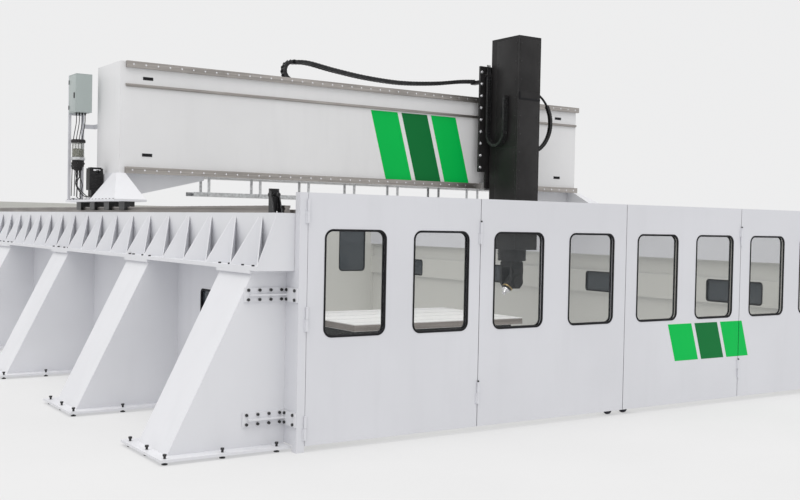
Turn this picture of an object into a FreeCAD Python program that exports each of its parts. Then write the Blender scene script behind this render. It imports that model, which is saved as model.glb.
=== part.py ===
"""Moving-gantry five-axis router in a walled bay with two pairs of folding doors.

Frame: millimetres, +X to the right along the doors, +Y to the back, +Z up.
The origin is on the floor at the middle of the machine's plan.
"""
import FreeCAD, Part
import math
import os
import Sketcher
from FreeCAD import Placement, Rotation, Vector

SIZES = (
    ("half_width", 4390, "machine centre to the outer face of a door post"),
    ("half_length", 6230, "machine centre to the outer face of the doors and of the rear wall"),
    ("floor_gap", 30, "height of the base plates over the floor, on their jacks"),
    ("plate", 25, "thickness of the base plates"),
    ("post_size", 90, "square door post"),
    ("post_wall", 6, "wall of the door post tube"),
    ("door_top", 2530, "top of the doors, posts and rear wall"),
    ("door_bottom", 63, "underside of the doors and walls"),
    ("door_thickness", 50, "thickness of a door or wall panel"),
    ("door_sheet", 4, "outer sheet of a panel"),
    ("door_bar", 22, "width of the bars behind the sheet"),
    ("door_gap", 6, "gap between neighbouring doors"),
    ("left_fold", -2172, "fold between doors 1 and 2"),
    ("centre_seam", 53, "seam between doors 2 and 3"),
    ("right_fold", 2170, "fold between doors 3 and 4"),
    ("window_width", 722, "width of a door window"),
    ("window_low", 1110, "sill of a door window"),
    ("window_high", 2178, "head of a door window"),
    ("window_margin", 190, "door edge to its first window"),
    ("window_corner", 95, "corner radius of a window"),
    ("side_window_length", 1080, "length of a side wall window"),
    ("side_window_low", 1100, "sill of a side wall window"),
    ("side_window_high", 1460, "head of a side wall window"),
    ("seal_width", 24, "face width of a window gasket"),
    ("seal_lip", 4, "how far a gasket stands proud of its panel"),
    ("glass", 8, "thickness of the glazing"),
    ("hinge_radius", 14, "outside radius of a hinge barrel"),
    ("hinge_half", 118, "length of one half of a hinge barrel"),
    ("wheel_radius", 63.5, "castor wheel, a five inch wheel"),
    ("wheel_width", 38, "tread of a castor wheel"),
    ("axle_radius", 6, "castor axle"),
    ("castor_inset", 130, "door edge to the castor swivel"),
    ("castor_behind", 105, "door inner face to the castor swivel"),
    ("castor_trail", 30, "swivel to the axle of the castor"),
    ("leg_front", -5960, "front web of the first leg"),
    ("leg_width", 740, "width of a leg along the machine"),
    ("leg_wall", 16, "plate of a leg"),
    ("leg_inner", 4385, "machine centre to the inner face of the legs"),
    ("leg_toe", 5595, "machine centre to the foot of the sloping flange"),
    ("leg_shoulder", 4755, "machine centre to the top of the sloping flange"),
    ("leg_top", 1735, "top of the leg box"),
    ("base_toe", 5718, "machine centre to the outer edge of a base plate"),
    ("base_margin", 165, "how far a base plate passes a leg's web"),
    ("beam_bottom", 1765, "underside of the rail beam"),
    ("beam_top", 2327, "top of the rail beam"),
    ("beam_flange", 40, "flanges of the rail beam"),
    ("beam_web", 25, "web of the rail beam"),
    ("beam_inner", 4305, "machine centre to the inner face of the rail beam"),
    ("beam_low_outer", 4790, "machine centre to the edge of the lower flange"),
    ("beam_high_outer", 4600, "machine centre to the edge of the upper flange"),
    ("beam_end_gap", 95, "end of the rail beam behind the door plane"),
    ("rib_pitch", 605, "pitch of the pairs of ribs along the rail beam"),
    ("rib_plate", 12, "plate of the ribs"),
    ("rail_centre", 4455, "machine centre to the middle of a guide rail"),
    ("rail_width", 64, "width of a guide rail"),
    ("rail_height", 73, "height of a guide rail"),
    ("foot_base", 2470, "underside of the gantry feet"),
    ("foot_plate", 30, "thickness of a gantry foot's base plate"),
    ("foot_front", -1700, "front edge of the gantry feet"),
    ("foot_length", 2120, "length of the gantry feet along the guide rails"),
    ("foot_outer", 4677, "machine centre to the outer edge of a gantry foot"),
    ("foot_inner", 4232, "machine centre to the inner edge of a gantry foot"),
    ("foot_arm", 1250, "length of the gusset under the gantry box"),
    ("gantry_half", 4300, "half the length of the gantry box"),
    ("gantry_front", -800, "front face of the gantry box"),
    ("gantry_depth", 970, "depth of the gantry box"),
    ("gantry_bottom", 2880, "underside of the gantry box"),
    ("gantry_height", 1560, "height of the gantry box"),
    ("gantry_plate", 15, "plate of the gantry box"),
    ("rail_proud", 45, "how far the gantry's rails stand out"),
    ("rail_face", 90, "height of a gantry rail"),
    ("service_back", 380, "back of the service frame behind the gantry"),
    ("tray_bottom", 2600, "underside of the cable tray"),
    ("tray_half", 3050, "half the length of the cable tray"),
    ("trough_back", -240, "back edge of the chain's trough"),
    ("chain_width", 110, "width of the gantry's energy chain"),
    ("chain_thick", 60, "height of a link of the gantry's energy chain"),
    ("chain_radius", 145, "bend radius of the gantry's energy chain"),
    ("chain_bend", -1360, "centre of the bend of the gantry's energy chain"),
    ("carriage_wide", 432, "ram's middle to the side of the carriage plate"),
    ("carriage_narrow", 282, "ram's middle to the side of the plate's lower part"),
    ("carriage_front", -990, "front face of the carriage plate"),
    ("carriage_plate", 40, "thickness of the carriage plate"),
    ("carriage_top", 4960, "top of the carriage plate"),
    ("ram_chain_width", 90, "width of the ram's energy chain"),
    ("ram_chain_thick", 46, "height of a link of the ram's energy chain"),
    ("ram_chain_radius", 220, "bend radius of the ram's energy chain"),
    ("ram_chain_bend", 3823, "height of the centre of the ram chain's bend"),
    ("ram_chain_back", -1060, "middle of the ram chain's back leg"),
    ("ram_chain_fixed", 4780, "top of the ram chain's back leg, at the carriage"),
    ("ram_chain_clip", 4380, "top of the ram chain's front leg, at the ram"),
    ("hose_radius", 537, "radius of the hose loop at the ram's right side"),
    ("hose_height", 4030, "height of the centre of the hose loop"),
    ("hose_front", -1475, "front of the hose loop"),
    ("ram_left", 2092, "left face of the ram"),
    ("ram_width", 480, "width of the ram"),
    ("ram_front", -1760, "front face of the ram"),
    ("ram_depth", 709, "depth of the ram"),
    ("ram_bottom", 1850, "underside of the ram"),
    ("ram_top", 5405, "top of the ram"),
    ("ram_wall", 10, "plate of the ram's casing"),
    ("tilt_height", 1310, "height of the spindle's tilt axis"),
    ("arm_gap", 200, "gap between the arms of the head"),
    ("arm_plate", 50, "thickness of an arm of the head"),
    ("trunnion_radius", 30, "trunnions of the spindle"),
    ("running_gap", 0.1, "radial clearance of a shaft in its hole"),
    ("spindle_radius", 88, "radius of the spindle housing"),
    ("collet_radius", 10, "bore of the collet"),
    ("collet_depth", 45, "depth of the collet's bore"),
    ("table_left", -1590, "left edge of the work table"),
    ("table_length", 3050, "length of the work table, ten feet"),
    ("table_front", -2720, "front edge of the work table"),
    ("table_depth", 2080, "depth of the work table"),
    ("table_height", 830, "top of the work table"),
    ("table_edge", 100, "thickness of the work table"),
)
LEG_COUNT = 5
LEG_STARTS = (0, 2755, 5935, 9175, 11180)   # front web of each leg behind the first leg's
SPINDLE_TILT = 38                           # degrees the spindle leans to the left as it stands
DOORS = ((1, "left"), (2, "left"), (3, "right"), (4, "right"))

doc = FreeCAD.newDocument("gantry_router")
sheet = doc.addObject("Spreadsheet::Sheet", "Sizes")
NODES = []


class Size:
    """A number together with the formula that gives it, so that it can drive a property."""

    def __init__(self, number, formula):
        self.number = float(number)
        self.formula = formula

    def __float__(self):
        return self.number

    def __add__(self, other):
        return Size(self.number + float(other), f"({self.formula} + {formula(other)})")

    def __radd__(self, other):
        return Size(float(other) + self.number, f"({formula(other)} + {self.formula})")

    def __sub__(self, other):
        return Size(self.number - float(other), f"({self.formula} - {formula(other)})")

    def __rsub__(self, other):
        return Size(float(other) - self.number, f"({formula(other)} - {self.formula})")

    def __mul__(self, other):
        return Size(self.number * float(other), f"({self.formula} * {formula(other)})")

    __rmul__ = __mul__

    def __truediv__(self, other):
        return Size(self.number / float(other), f"({self.formula} / {formula(other)})")

    def __neg__(self):
        return Size(-self.number, f"(0 - {self.formula})")


def formula(value):
    """The text that the expression engine reads for a Size or a plain number."""
    return value.formula if isinstance(value, Size) else repr(float(value))


def fill_sheet():
    """Write the driving dimensions, and return each of them as a Size."""
    found = {}
    for row, (alias, number, note) in enumerate(SIZES, 1):
        sheet.set(f"A{row}", note)
        sheet.set(f"B{row}", str(number))
        sheet.setAlias(f"B{row}", alias)
        found[alias] = Size(number, f"Sizes.{alias}")
    doc.recompute()
    return found


D = fill_sheet()


def bind(piece, prop, value):
    piece.setExpression(prop, formula(value))


def node(piece, name):
    """Give the piece its label and list it for export."""
    piece.Label = name
    NODES.append(piece)
    return piece


def block(name, low, size):
    """A box from its lowest corner and its three lengths."""
    piece = doc.addObject("Part::Box", name)
    for prop, value in zip(("Length", "Width", "Height"), size):
        bind(piece, prop, value)
    for axis, value in zip("xyz", low):
        bind(piece, "Placement.Base." + axis, value)
    return piece


TURNS = {"z": Rotation(), "x": Rotation(Vector(0, 1, 0), 90), "y": Rotation(Vector(1, 0, 0), -90)}


def rod(name, base, radius, length, along="z"):
    """A cylinder from the centre of its first face, along an axis."""
    piece = doc.addObject("Part::Cylinder", name)
    piece.Placement = Placement(Vector(), TURNS[along])
    bind(piece, "Radius", radius)
    bind(piece, "Height", length)
    for axis, value in zip("xyz", base):
        bind(piece, "Placement.Base." + axis, value)
    return piece


def fuse(name, pieces):
    piece = doc.addObject("Part::MultiFuse", name)
    piece.Shapes = list(pieces)
    return piece


def cut(name, base, tools):
    tool = tools[0] if len(tools) == 1 else fuse(name + "_tools", tools)
    piece = doc.addObject("Part::Cut", name)
    piece.Base = base
    piece.Tool = tool
    return piece


def group(name, pieces):
    """Separate solids in one node."""
    piece = doc.addObject("Part::Compound", name)
    piece.Links = list(pieces)
    return piece


def mirror(name, source):
    """The same piece on the other side of the machine's middle plane."""
    piece = doc.addObject("Part::Mirroring", name)
    piece.Source = source
    piece.Normal = Vector(1, 0, 0)
    return piece


def hold(sketch, kind, geometry, point, value, axis_line):
    """Hold a point at a bound distance from the sketch's origin along one direction."""
    if abs(float(value)) < 0.001:
        sketch.addConstraint(Sketcher.Constraint("PointOnObject", geometry, point, axis_line))
        return
    index = sketch.addConstraint(Sketcher.Constraint(kind, -1, 1, geometry, point, float(value)))
    sketch.setExpression(f"Constraints[{index}]", formula(value))


def polygon(sketch, points):
    """A closed outline whose corners are each held to the origin by two bound distances."""
    corners = [Vector(float(x), float(y), 0) for x, y in points]
    first = sketch.GeometryCount
    for number, corner in enumerate(corners):
        sketch.addGeometry(Part.LineSegment(corner, corners[(number + 1) % len(corners)]), False)
    for number, (x, y) in enumerate(points):
        after = first + (number + 1) % len(corners)
        sketch.addConstraint(Sketcher.Constraint("Coincident", first + number, 2, after, 1))
        hold(sketch, "DistanceX", first + number, 1, x, -2)
        hold(sketch, "DistanceY", first + number, 1, y, -1)


def rectangle(sketch, left, right, low, high):
    polygon(sketch, ((left, low), (right, low), (right, high), (left, high)))


def rounded(sketch, left, right, low, high, radius):
    """A rectangle with round corners: each line's ends and each arc's centre are held."""
    x0, x1, y0, y1, r = (float(v) for v in (left, right, low, high, radius))
    first = sketch.GeometryCount
    lines = (((x0 + r, y0), (x1 - r, y0)), ((x1, y0 + r), (x1, y1 - r)),
             ((x1 - r, y1), (x0 + r, y1)), ((x0, y1 - r), (x0, y0 + r)))
    centres = ((x1 - r, y0 + r), (x1 - r, y1 - r), (x0 + r, y1 - r), (x0 + r, y0 + r))
    for start, end in lines:
        sketch.addGeometry(Part.LineSegment(Vector(*start, 0), Vector(*end, 0)), False)
    for number, centre in enumerate(centres):
        circle = Part.Circle(Vector(*centre, 0), Vector(0, 0, 1), r)
        start = math.radians(-90 + 90 * number)
        sketch.addGeometry(Part.ArcOfCircle(circle, start, start + math.pi / 2), False)
    for number in range(4):
        line, arc, after = first + number, first + 4 + number, first + (number + 1) % 4
        sketch.addConstraint(Sketcher.Constraint("Tangent", line, 2, arc, 1))
        sketch.addConstraint(Sketcher.Constraint("Tangent", arc, 2, after, 1))
        if number:
            sketch.addConstraint(Sketcher.Constraint("Equal", first + 4, arc))
    for number, kind in enumerate(("Horizontal", "Vertical", "Horizontal", "Vertical")):
        sketch.addConstraint(Sketcher.Constraint(kind, first + number))
    index = sketch.addConstraint(Sketcher.Constraint("Radius", first + 4, r))
    sketch.setExpression(f"Constraints[{index}]", formula(radius))
    hold(sketch, "DistanceY", first, 1, low, -1)
    hold(sketch, "DistanceX", first + 1, 1, right, -2)
    hold(sketch, "DistanceY", first + 2, 1, high, -1)
    hold(sketch, "DistanceX", first + 3, 1, left, -2)


PLANES = {"front": "XZ_Plane", "top": "XY_Plane", "side": "YZ_Plane"}


def new_body(name):
    return doc.addObject("PartDesign::Body", name)


def sketch_in(body, name, view, offset=0):
    """A sketch in one of the body's origin planes, moved along the plane's normal."""
    sketch = body.newObject("Sketcher::SketchObject", name)
    plane = next(f for f in body.Origin.OriginFeatures if f.Role == PLANES[view])
    sketch.AttachmentSupport = [(plane, "")]
    sketch.MapMode = "FlatFace"
    sketch.setExpression("AttachmentOffset.Base.z", formula(offset))
    return sketch


def pad(body, sketch, length, backwards=False):
    feature = body.newObject("PartDesign::Pad", sketch.Name + "_pad")
    feature.Profile = sketch
    bind(feature, "Length", length)
    feature.Reversed = backwards
    return feature


def pocket(body, sketch, length, backwards=False):
    feature = body.newObject("PartDesign::Pocket", sketch.Name + "_pocket")
    feature.Profile = sketch
    bind(feature, "Length", length)
    feature.Reversed = backwards
    return feature


def revolve(name, points):
    """A turned piece: the half outline is given as (radius, distance along the axis)."""
    body = new_body(name)
    sketch = sketch_in(body, name + "_profile", "front")
    polygon(sketch, points)
    feature = body.newObject("PartDesign::Revolution", name + "_turned")
    feature.Profile = sketch
    feature.ReferenceAxis = (sketch, ["V_Axis"])
    feature.Angle = 360
    return body


def sheet_prism(name, view, outlines, start, length):
    """Flat pieces that share one sketch, from start along +X, +Y or +Z by length."""
    sketch = doc.addObject("Sketcher::SketchObject", name + "_sketch")
    turn = {"front": Rotation(Vector(1, 0, 0), 90), "top": Rotation(),
            "side": Rotation(Vector(1, 1, 1), 120)}[view]
    axis = {"front": "y", "top": "z", "side": "x"}[view]
    direction = {"front": Vector(0, 1, 0), "top": Vector(0, 0, 1), "side": Vector(1, 0, 0)}[view]
    sketch.Placement = Placement(Vector(), turn)
    bind(sketch, "Placement.Base." + axis, start)
    for draw, *limits in outlines:
        draw(sketch, *limits)
    piece = doc.addObject("Part::Extrusion", name)
    piece.Base = sketch
    piece.DirMode = "Custom"
    piece.Dir = direction
    bind(piece, "LengthFwd", length)
    piece.Solid = True
    return piece


def shape_piece(name, shape):
    piece = doc.addObject("Part::Feature", name)
    piece.Shape = shape
    return piece


def mm(alias):
    """A driving dimension as a plain number, for a piece whose shape is made directly."""
    return float(getattr(sheet, alias))


def bolts(places, head=16, tall=15, shank=8, deep=20):
    """Hexagon-headed bolts: each place is a point on the face and the way the head looks."""
    made = []
    for point, outward in places:
        point, outward = Vector(*point), Vector(*outward)
        side = Vector(0, 0, 1) if abs(outward.z) < 0.5 else Vector(1, 0, 0)
        across = outward.cross(side)
        angles = [k * math.pi / 3 for k in range(6)]
        corners = [point + side * (head * math.cos(a)) + across * (head * math.sin(a)) for a in angles]
        hexagon = Part.Face(Part.makePolygon(corners + corners[:1])).extrude(outward * tall)
        made.append(hexagon.fuse(Part.makeCylinder(shank, deep, point, outward * -1)).removeSplitter())
    return Part.makeCompound(made)


# ---------------------------------------------------------------- legs and their jacks
def leg_outline():
    return ((-D["leg_toe"], D["floor_gap"] + D["plate"]), (-D["leg_inner"], D["floor_gap"] + D["plate"]),
            (-D["leg_inner"], D["leg_top"]), (-D["leg_shoulder"], D["leg_top"]))


def leg_hollow():
    wall = D["leg_wall"]
    slant = 1.12    # a sloping plate takes this much more width than its thickness
    return ((-D["leg_toe"] + wall * slant, D["floor_gap"] + D["plate"]),
            (-D["leg_inner"] - wall, D["floor_gap"] + D["plate"]),
            (-D["leg_inner"] - wall, D["leg_top"] - wall),
            (-D["leg_shoulder"] + wall * slant, D["leg_top"] - wall))


def leg(number, start):
    """One tapered leg: base plate, hollow box with a sloping outer flange, and top plate."""
    name = f"left_leg_{number}"
    front = D["leg_front"] + start
    body = new_body(name)
    base = sketch_in(body, name + "_base", "top", D["floor_gap"])
    near = front - D["base_margin"]
    far = front + D["leg_width"] + D["base_margin"]
    if number == LEG_COUNT:
        far = front + D["leg_width"]
    rectangle(base, -D["base_toe"], -D["leg_inner"], near, far)
    pad(body, base, D["plate"])
    box = sketch_in(body, name + "_box", "front", -front)
    polygon(box, leg_outline())
    pad(body, box, D["leg_width"], True)
    cap = sketch_in(body, name + "_cap", "top", D["leg_top"])
    rectangle(cap, -D["beam_low_outer"], -D["leg_inner"], front - 20, front + D["leg_width"] + 20)
    pad(body, cap, D["beam_bottom"] - D["leg_top"])
    inside = sketch_in(body, name + "_inside", "front", -front - D["leg_wall"])
    polygon(inside, leg_hollow())
    pocket(body, inside, D["leg_width"] - D["leg_wall"] * 2, False)
    return body


legs = [leg(number, start) for number, start in enumerate(LEG_STARTS, 1)]
left_legs = node(group("left_legs", legs), "left_legs")
node(mirror("right_legs", left_legs), "right_legs")


def jack_places():
    """Plan positions of the jacks: along the outer edge and the front edge of each plate."""
    inset = 60
    places = []
    for start in LEG_STARTS:
        near = mm("leg_front") + start - mm("base_margin") + inset
        far = near + mm("leg_width") + mm("base_margin")
        outer = -mm("base_toe") + inset
        inner = -mm("leg_inner") - 130
        places += [(outer, near), (outer, (near + far) / 2), (outer, far)]
        places += [((outer + inner) / 2, near), (inner, near)]
    return places


def jack(x, y):
    """A jacking screw: round foot, threaded shank and hexagon head."""
    gap, thick = mm("floor_gap"), mm("plate")
    foot = Part.makeCylinder(28, 10, Vector(x, y, 0))
    shank = Part.makeCylinder(12, gap + thick + 25, Vector(x, y, 5))
    head = bolts([((x, y, gap + thick + 25), (0, 0, 1))], 20, 18, 11, 10).Solids[0]
    return foot.fuse([shank, head]).removeSplitter()


jack_solids = [jack(side * x, y) for x, y in jack_places() for side in (1, -1)]
node(shape_piece("levelling_jacks", Part.makeCompound(jack_solids)), "levelling_jacks")

# ---------------------------------------------------------------- rail beams
BEAM_FRONT = -D["half_length"] + D["beam_end_gap"]
BEAM_LENGTH = D["half_length"] * 2 - D["beam_end_gap"] - D["door_thickness"]


RIB_SETBACK, RIB_GAP, END_PLATE, BOLT_CLEARANCE = 12, 56, 14, 66


def beam_plates():
    """The long plates of the left rail beam: wide lower flange, narrow upper flange and the two webs."""
    low, high, flange, web = D["beam_bottom"], D["beam_top"], D["beam_flange"], D["beam_web"]
    lower = block("beam_lower_flange", (-D["beam_low_outer"], BEAM_FRONT, low),
                  (D["beam_low_outer"] - D["beam_inner"], BEAM_LENGTH, flange))
    upright = block("beam_web_plate", (-D["beam_inner"] - web, BEAM_FRONT, low + flange),
                    (web, BEAM_LENGTH, high - low - flange * 2))
    upper = block("beam_upper_flange", (-D["beam_high_outer"], BEAM_FRONT, high - flange),
                  (D["beam_high_outer"] - D["beam_inner"], BEAM_LENGTH, flange))
    cover = block("beam_outer_web", (-D["beam_high_outer"], BEAM_FRONT + END_PLATE, low + flange),
                  (web, BEAM_LENGTH - END_PLATE * 2, high - low - flange * 2))
    return [lower, upright, upper, cover]


def rib(vertex, side):
    """A triangular rib plate: its toe at the lower flange's edge, its heel up the outer web, to one side."""
    low, high = mm("beam_bottom") + mm("beam_flange"), mm("beam_top") - mm("beam_flange")
    outer, web = RIB_SETBACK - mm("beam_low_outer"), -mm("beam_high_outer")
    reach = (mm("rib_pitch") - RIB_GAP) / 2
    thick = mm("rib_plate") * math.hypot(web - outer, reach) / (web - outer)
    toe, heel = vertex - side * thick / 2, vertex + side * (reach - thick)
    corners = [Vector(outer, toe, low), Vector(web, heel, low), Vector(web, heel, high)]
    return Part.Face(Part.makePolygon(corners + corners[:1])).extrude(Vector(0, side * thick, 0))


def first_rib():
    return float(BEAM_FRONT) + END_PLATE + RIB_SETBACK


def ribs():
    """Pairs of ribs that meet in a V at the flange's edge, and half a pair at each end of the beam."""
    start, pitch = first_rib(), mm("rib_pitch")
    count = int((float(BEAM_LENGTH) - END_PLATE * 2) // pitch)
    pairs = [rib(start + pitch * number, 1).fuse(rib(start + pitch * number, -1)).removeSplitter().Solids[0]
             for number in range(1, count)]
    return Part.makeCompound([rib(start, 1)] + pairs + [rib(start + pitch * count, -1)])


def end_plate(name, start):
    """Plate across the end of the rail beam, between its flanges."""
    low, high = D["beam_bottom"] + D["beam_flange"], D["beam_top"] - D["beam_flange"]
    outline = ((-D["beam_low_outer"], low), (-D["beam_inner"] - D["beam_web"], low),
               (-D["beam_inner"] - D["beam_web"], high), (-D["beam_high_outer"], high))
    return sheet_prism(name, "front", [(polygon, outline)], start, END_PLATE)


beam_parts = beam_plates() + [shape_piece("left_ribs", ribs()), end_plate("beam_front_plate", BEAM_FRONT),
                              end_plate("beam_back_plate", BEAM_FRONT + BEAM_LENGTH - END_PLATE)]
left_beam = node(group("left_rail_beam", beam_parts), "left_rail_beam")
node(mirror("right_rail_beam", left_beam), "right_rail_beam")

rail = new_body("left_rail")
rail_sketch = sketch_in(rail, "guide_rail_profile", "front", -BEAM_FRONT - 40)
waist = D["rail_width"] / 2 - 9
half_rail = D["rail_width"] / 2
base = D["beam_top"]
polygon(rail_sketch, tuple((-D["rail_centre"] + x, base + z) for x, z in (
    (-half_rail, 0), (half_rail, 0), (half_rail, 26), (waist, 34), (waist, 44), (half_rail, 52),
    (half_rail, D["rail_height"]), (-half_rail, D["rail_height"]), (-half_rail, 52), (-waist, 44),
    (-waist, 34), (-half_rail, 26))))
pad(rail, rail_sketch, BEAM_LENGTH - 80, True)
node(group("guide_rail_pair", [rail, mirror("right_rail", rail)]), "guide_rails")

rack_low = (-D["rail_centre"] + 75, BEAM_FRONT + 40, D["beam_top"])
left_rack = block("left_rack", rack_low, (30, BEAM_LENGTH - 80, 34))
node(group("drive_racks", [left_rack, mirror("right_rack", left_rack)]), "drive_racks")

# ---------------------------------------------------------------- walls and their windows
WALL_BACK = D["half_length"] - D["door_thickness"]


SIDE_WINDOW_MARGIN = 260


def side_window_starts():
    """Front edge of the window in each bay between two legs; in a short bay it is in the middle."""
    starts = []
    for start, following in zip(LEG_STARTS, LEG_STARTS[1:]):
        spare = following - start - mm("leg_width") - mm("side_window_length")
        starts.append(D["leg_front"] + start + D["leg_width"] + min(SIDE_WINDOW_MARGIN, spare / 2))
    return starts


side_cuts = [(start, start + D["side_window_length"], D["side_window_low"], D["side_window_high"])
             for start in side_window_starts()]


def side_wall():
    """Left wall panel: sheet and bars, with one long low window in each bay."""
    body = new_body("left_side_wall")
    panel = sketch_in(body, "side_wall_outline", "side", -D["leg_inner"])
    rectangle(panel, -D["half_length"] + D["post_size"], WALL_BACK, D["door_bottom"], D["beam_bottom"])
    for left, right, low, high in side_cuts:
        rounded(panel, left, right, low, high, D["window_corner"] * 0.6)
    pad(body, panel, D["door_thickness"])
    hollow = sketch_in(body, "side_wall_hollow", "side", -D["leg_inner"] + D["door_sheet"])
    bar = D["door_bar"]
    near = -D["half_length"] + D["post_size"] + bar
    rectangle(hollow, near, WALL_BACK - bar, D["door_bottom"] + bar, D["side_window_low"] - bar)
    rectangle(hollow, near, WALL_BACK - bar, D["side_window_high"] + bar, D["beam_bottom"] - bar)
    pocket(body, hollow, D["door_thickness"], True)
    return body


left_wall = side_wall()
node(group("side_wall_pair", [left_wall, mirror("right_side_wall", left_wall)]), "side_walls")


def panel_hollows(sketch, left, right, windows):
    """Hollows behind a sheet: above and below the windows, beside them and between them."""
    bar = D["door_bar"]
    rectangle(sketch, left + bar, right - bar, D["window_high"] + bar, D["door_top"] - bar)
    rectangle(sketch, left + bar, right - bar, D["door_bottom"] + bar, D["window_low"] - bar)
    edges = [left] + [edge for window in windows for edge in window] + [right]
    for start, end in zip(edges[::2], edges[1::2]):
        rectangle(sketch, start + bar, end - bar, D["window_low"], D["window_high"])


def panel(name, left, right, windows, front, facing_front):
    """A sheet-and-bar panel in the XZ plane, its sheet on the front or on the back."""
    body = new_body(name)
    outline = sketch_in(body, name + "_outline", "front", -front)
    rectangle(outline, left, right, D["door_bottom"], D["door_top"])
    for start, end in windows:
        rounded(outline, start, end, D["window_low"], D["window_high"], D["window_corner"])
    pad(body, outline, D["door_thickness"], True)
    back = front + D["door_thickness"] if facing_front else front
    hollow = sketch_in(body, name + "_hollow", "front", -back)
    panel_hollows(hollow, left, right, windows)
    pocket(body, hollow, D["door_thickness"] - D["door_sheet"], not facing_front)
    return body


def window_pair(left, right):
    """The two windows of a door: one in each half, a margin from the half's left edge."""
    half = (right - left) / 2
    starts = (left + D["window_margin"], left + half + D["window_margin"])
    return [(start, start + D["window_width"]) for start in starts]


DOOR_EDGES = (-D["half_width"] + D["post_size"], D["left_fold"], D["centre_seam"], D["right_fold"],
              D["half_width"] - D["post_size"])
wall_windows = [window for left, right in zip(DOOR_EDGES, DOOR_EDGES[1:])
                for window in window_pair(left, right)]
rear_panel = panel("rear_wall_panel", -D["half_width"], D["half_width"], wall_windows, WALL_BACK, False)
stiffener_heights = (D["door_bottom"], D["window_low"] - 120, D["door_top"] - 60)
stiffeners = [block(f"rear_stiffener_{number}", (-D["half_width"], D["half_length"], height),
                    (D["half_width"] * 2, D["hinge_radius"] * 2, 60))
              for number, height in enumerate(stiffener_heights, 1)]
node(fuse("rear_wall", [rear_panel] + stiffeners), "rear_wall")


def seals(name, view, windows, start, corner):
    """Gaskets that line the windows and stand a lip proud of both faces of the panel."""
    inset = D["seal_width"]
    outlines = []
    for left, right, low, high in windows:
        outlines.append((rounded, left, right, low, high, corner))
        outlines.append((rounded, left + inset, right - inset, low + inset, high - inset, corner - inset))
    return sheet_prism(name, view, outlines, start - D["seal_lip"], D["door_thickness"] + D["seal_lip"] * 2)


def glazing(name, view, windows, start, corner):
    """Panes that fill the gaskets, in the middle of the panel's thickness."""
    inset = D["seal_width"]
    outlines = [(rounded, left + inset, right - inset, low + inset, high - inset, corner - inset)
                for left, right, low, high in windows]
    return sheet_prism(name, view, outlines, start + (D["door_thickness"] - D["glass"]) / 2, D["glass"])


side_corner = D["window_corner"] * 0.6
rear_cuts = [(left, right, D["window_low"], D["window_high"]) for left, right in wall_windows]
left_seals = seals("left_wall_seals", "side", side_cuts, -D["leg_inner"], side_corner)
left_glass = glazing("left_wall_glass", "side", side_cuts, -D["leg_inner"], side_corner)
rear_seals = seals("rear_wall_seals", "front", rear_cuts, WALL_BACK, D["window_corner"])
rear_glass = glazing("rear_wall_glass", "front", rear_cuts, WALL_BACK, D["window_corner"])
right_seals, right_glass = mirror("right_wall_seals", left_seals), mirror("right_wall_glass", left_glass)
node(group("wall_seal_set", [left_seals, right_seals, rear_seals]), "wall_window_seals")
node(group("wall_glass_set", [left_glass, right_glass, rear_glass]), "wall_glass")

# ---------------------------------------------------------------- door posts and brackets
post = new_body("left_post")
post_sketch = sketch_in(post, "post_profile", "top", 0)
front = -D["half_length"]
rectangle(post_sketch, -D["half_width"], -D["half_width"] + D["post_size"], front, front + D["post_size"])
wall = D["post_wall"]
rectangle(post_sketch, -D["half_width"] + wall, -D["half_width"] + D["post_size"] - wall, front + wall,
          front + D["post_size"] - wall)
pad(post, post_sketch, D["door_top"])
node(group("door_posts", [post, mirror("right_post", post)]), "door_posts")

BRACKET_HEIGHTS = (D["floor_gap"] + 220, D["floor_gap"] + 1430)
bracket_pieces = []
for number, height in enumerate(BRACKET_HEIGHTS, 1):
    plate_low = (-D["half_width"] - 450, D["leg_front"] - 16, height)
    web_plate = block(f"bracket_plate_{number}", plate_low, (450, 16, 140))
    flange = block(f"bracket_flange_{number}", (-D["half_width"] - 16, -D["half_length"] + 8, height),
                   (16, D["leg_front"] + D["half_length"] - 8, 140))
    shelf = block(f"bracket_shelf_{number}", (-D["half_width"] - 400, D["leg_front"] - 60, height + 62),
                  (400, 60, 16))
    bracket = fuse(f"left_bracket_{number}", [web_plate, flange, shelf])
    bracket_pieces += [bracket, mirror(f"right_bracket_{number}", bracket)]
node(group("post_brackets", bracket_pieces), "post_brackets")


def clear_of_ribs(y, middle):
    """A bolt's place along the beam, moved towards the leg's middle where a rib's toe is in its way."""
    number = round((y - first_rib()) / mm("rib_pitch"))
    toe = first_rib() + number * mm("rib_pitch")
    return y if abs(y - toe) > BOLT_CLEARANCE else toe + math.copysign(BOLT_CLEARANCE, middle - toe)


def frame_bolt_places():
    """Bolts of the beam flange over each leg, and of the post brackets, on the left side."""
    places = []
    top = mm("beam_bottom") + mm("beam_flange")
    for start in LEG_STARTS:
        front = mm("leg_front") + start
        for offset in (-15, 215, 525, 755):
            if front + offset < float(BEAM_FRONT) + float(BEAM_LENGTH) - 40:
                y = clear_of_ribs(front + offset, front + mm("leg_width") / 2)
                places.append(((-mm("beam_low_outer") + 35, y, top), (0, 0, 1)))
    for height in BRACKET_HEIGHTS:
        for level in (24, 116):
            for along in (40, 160, 280, 395):
                point = (-mm("half_width") - 450 + along, mm("leg_front") - 16, float(height) + level)
                places.append((point, (0, -1, 0)))
            for y in (-mm("half_length") + 45, mm("leg_front") - 60):
                places.append(((-mm("half_width") - 16, y, float(height) + level), (-1, 0, 0)))
    return places


left_places = frame_bolt_places()
right_places = [((-x, y, z), (-u, v, w)) for (x, y, z), (u, v, w) in left_places]
node(shape_piece("frame_bolts", bolts(left_places + right_places)), "frame_bolts")

# ---------------------------------------------------------------- end stops on the rail beams
STOP_SETBACK = 150
STOP_HEIGHT = 235


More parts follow.
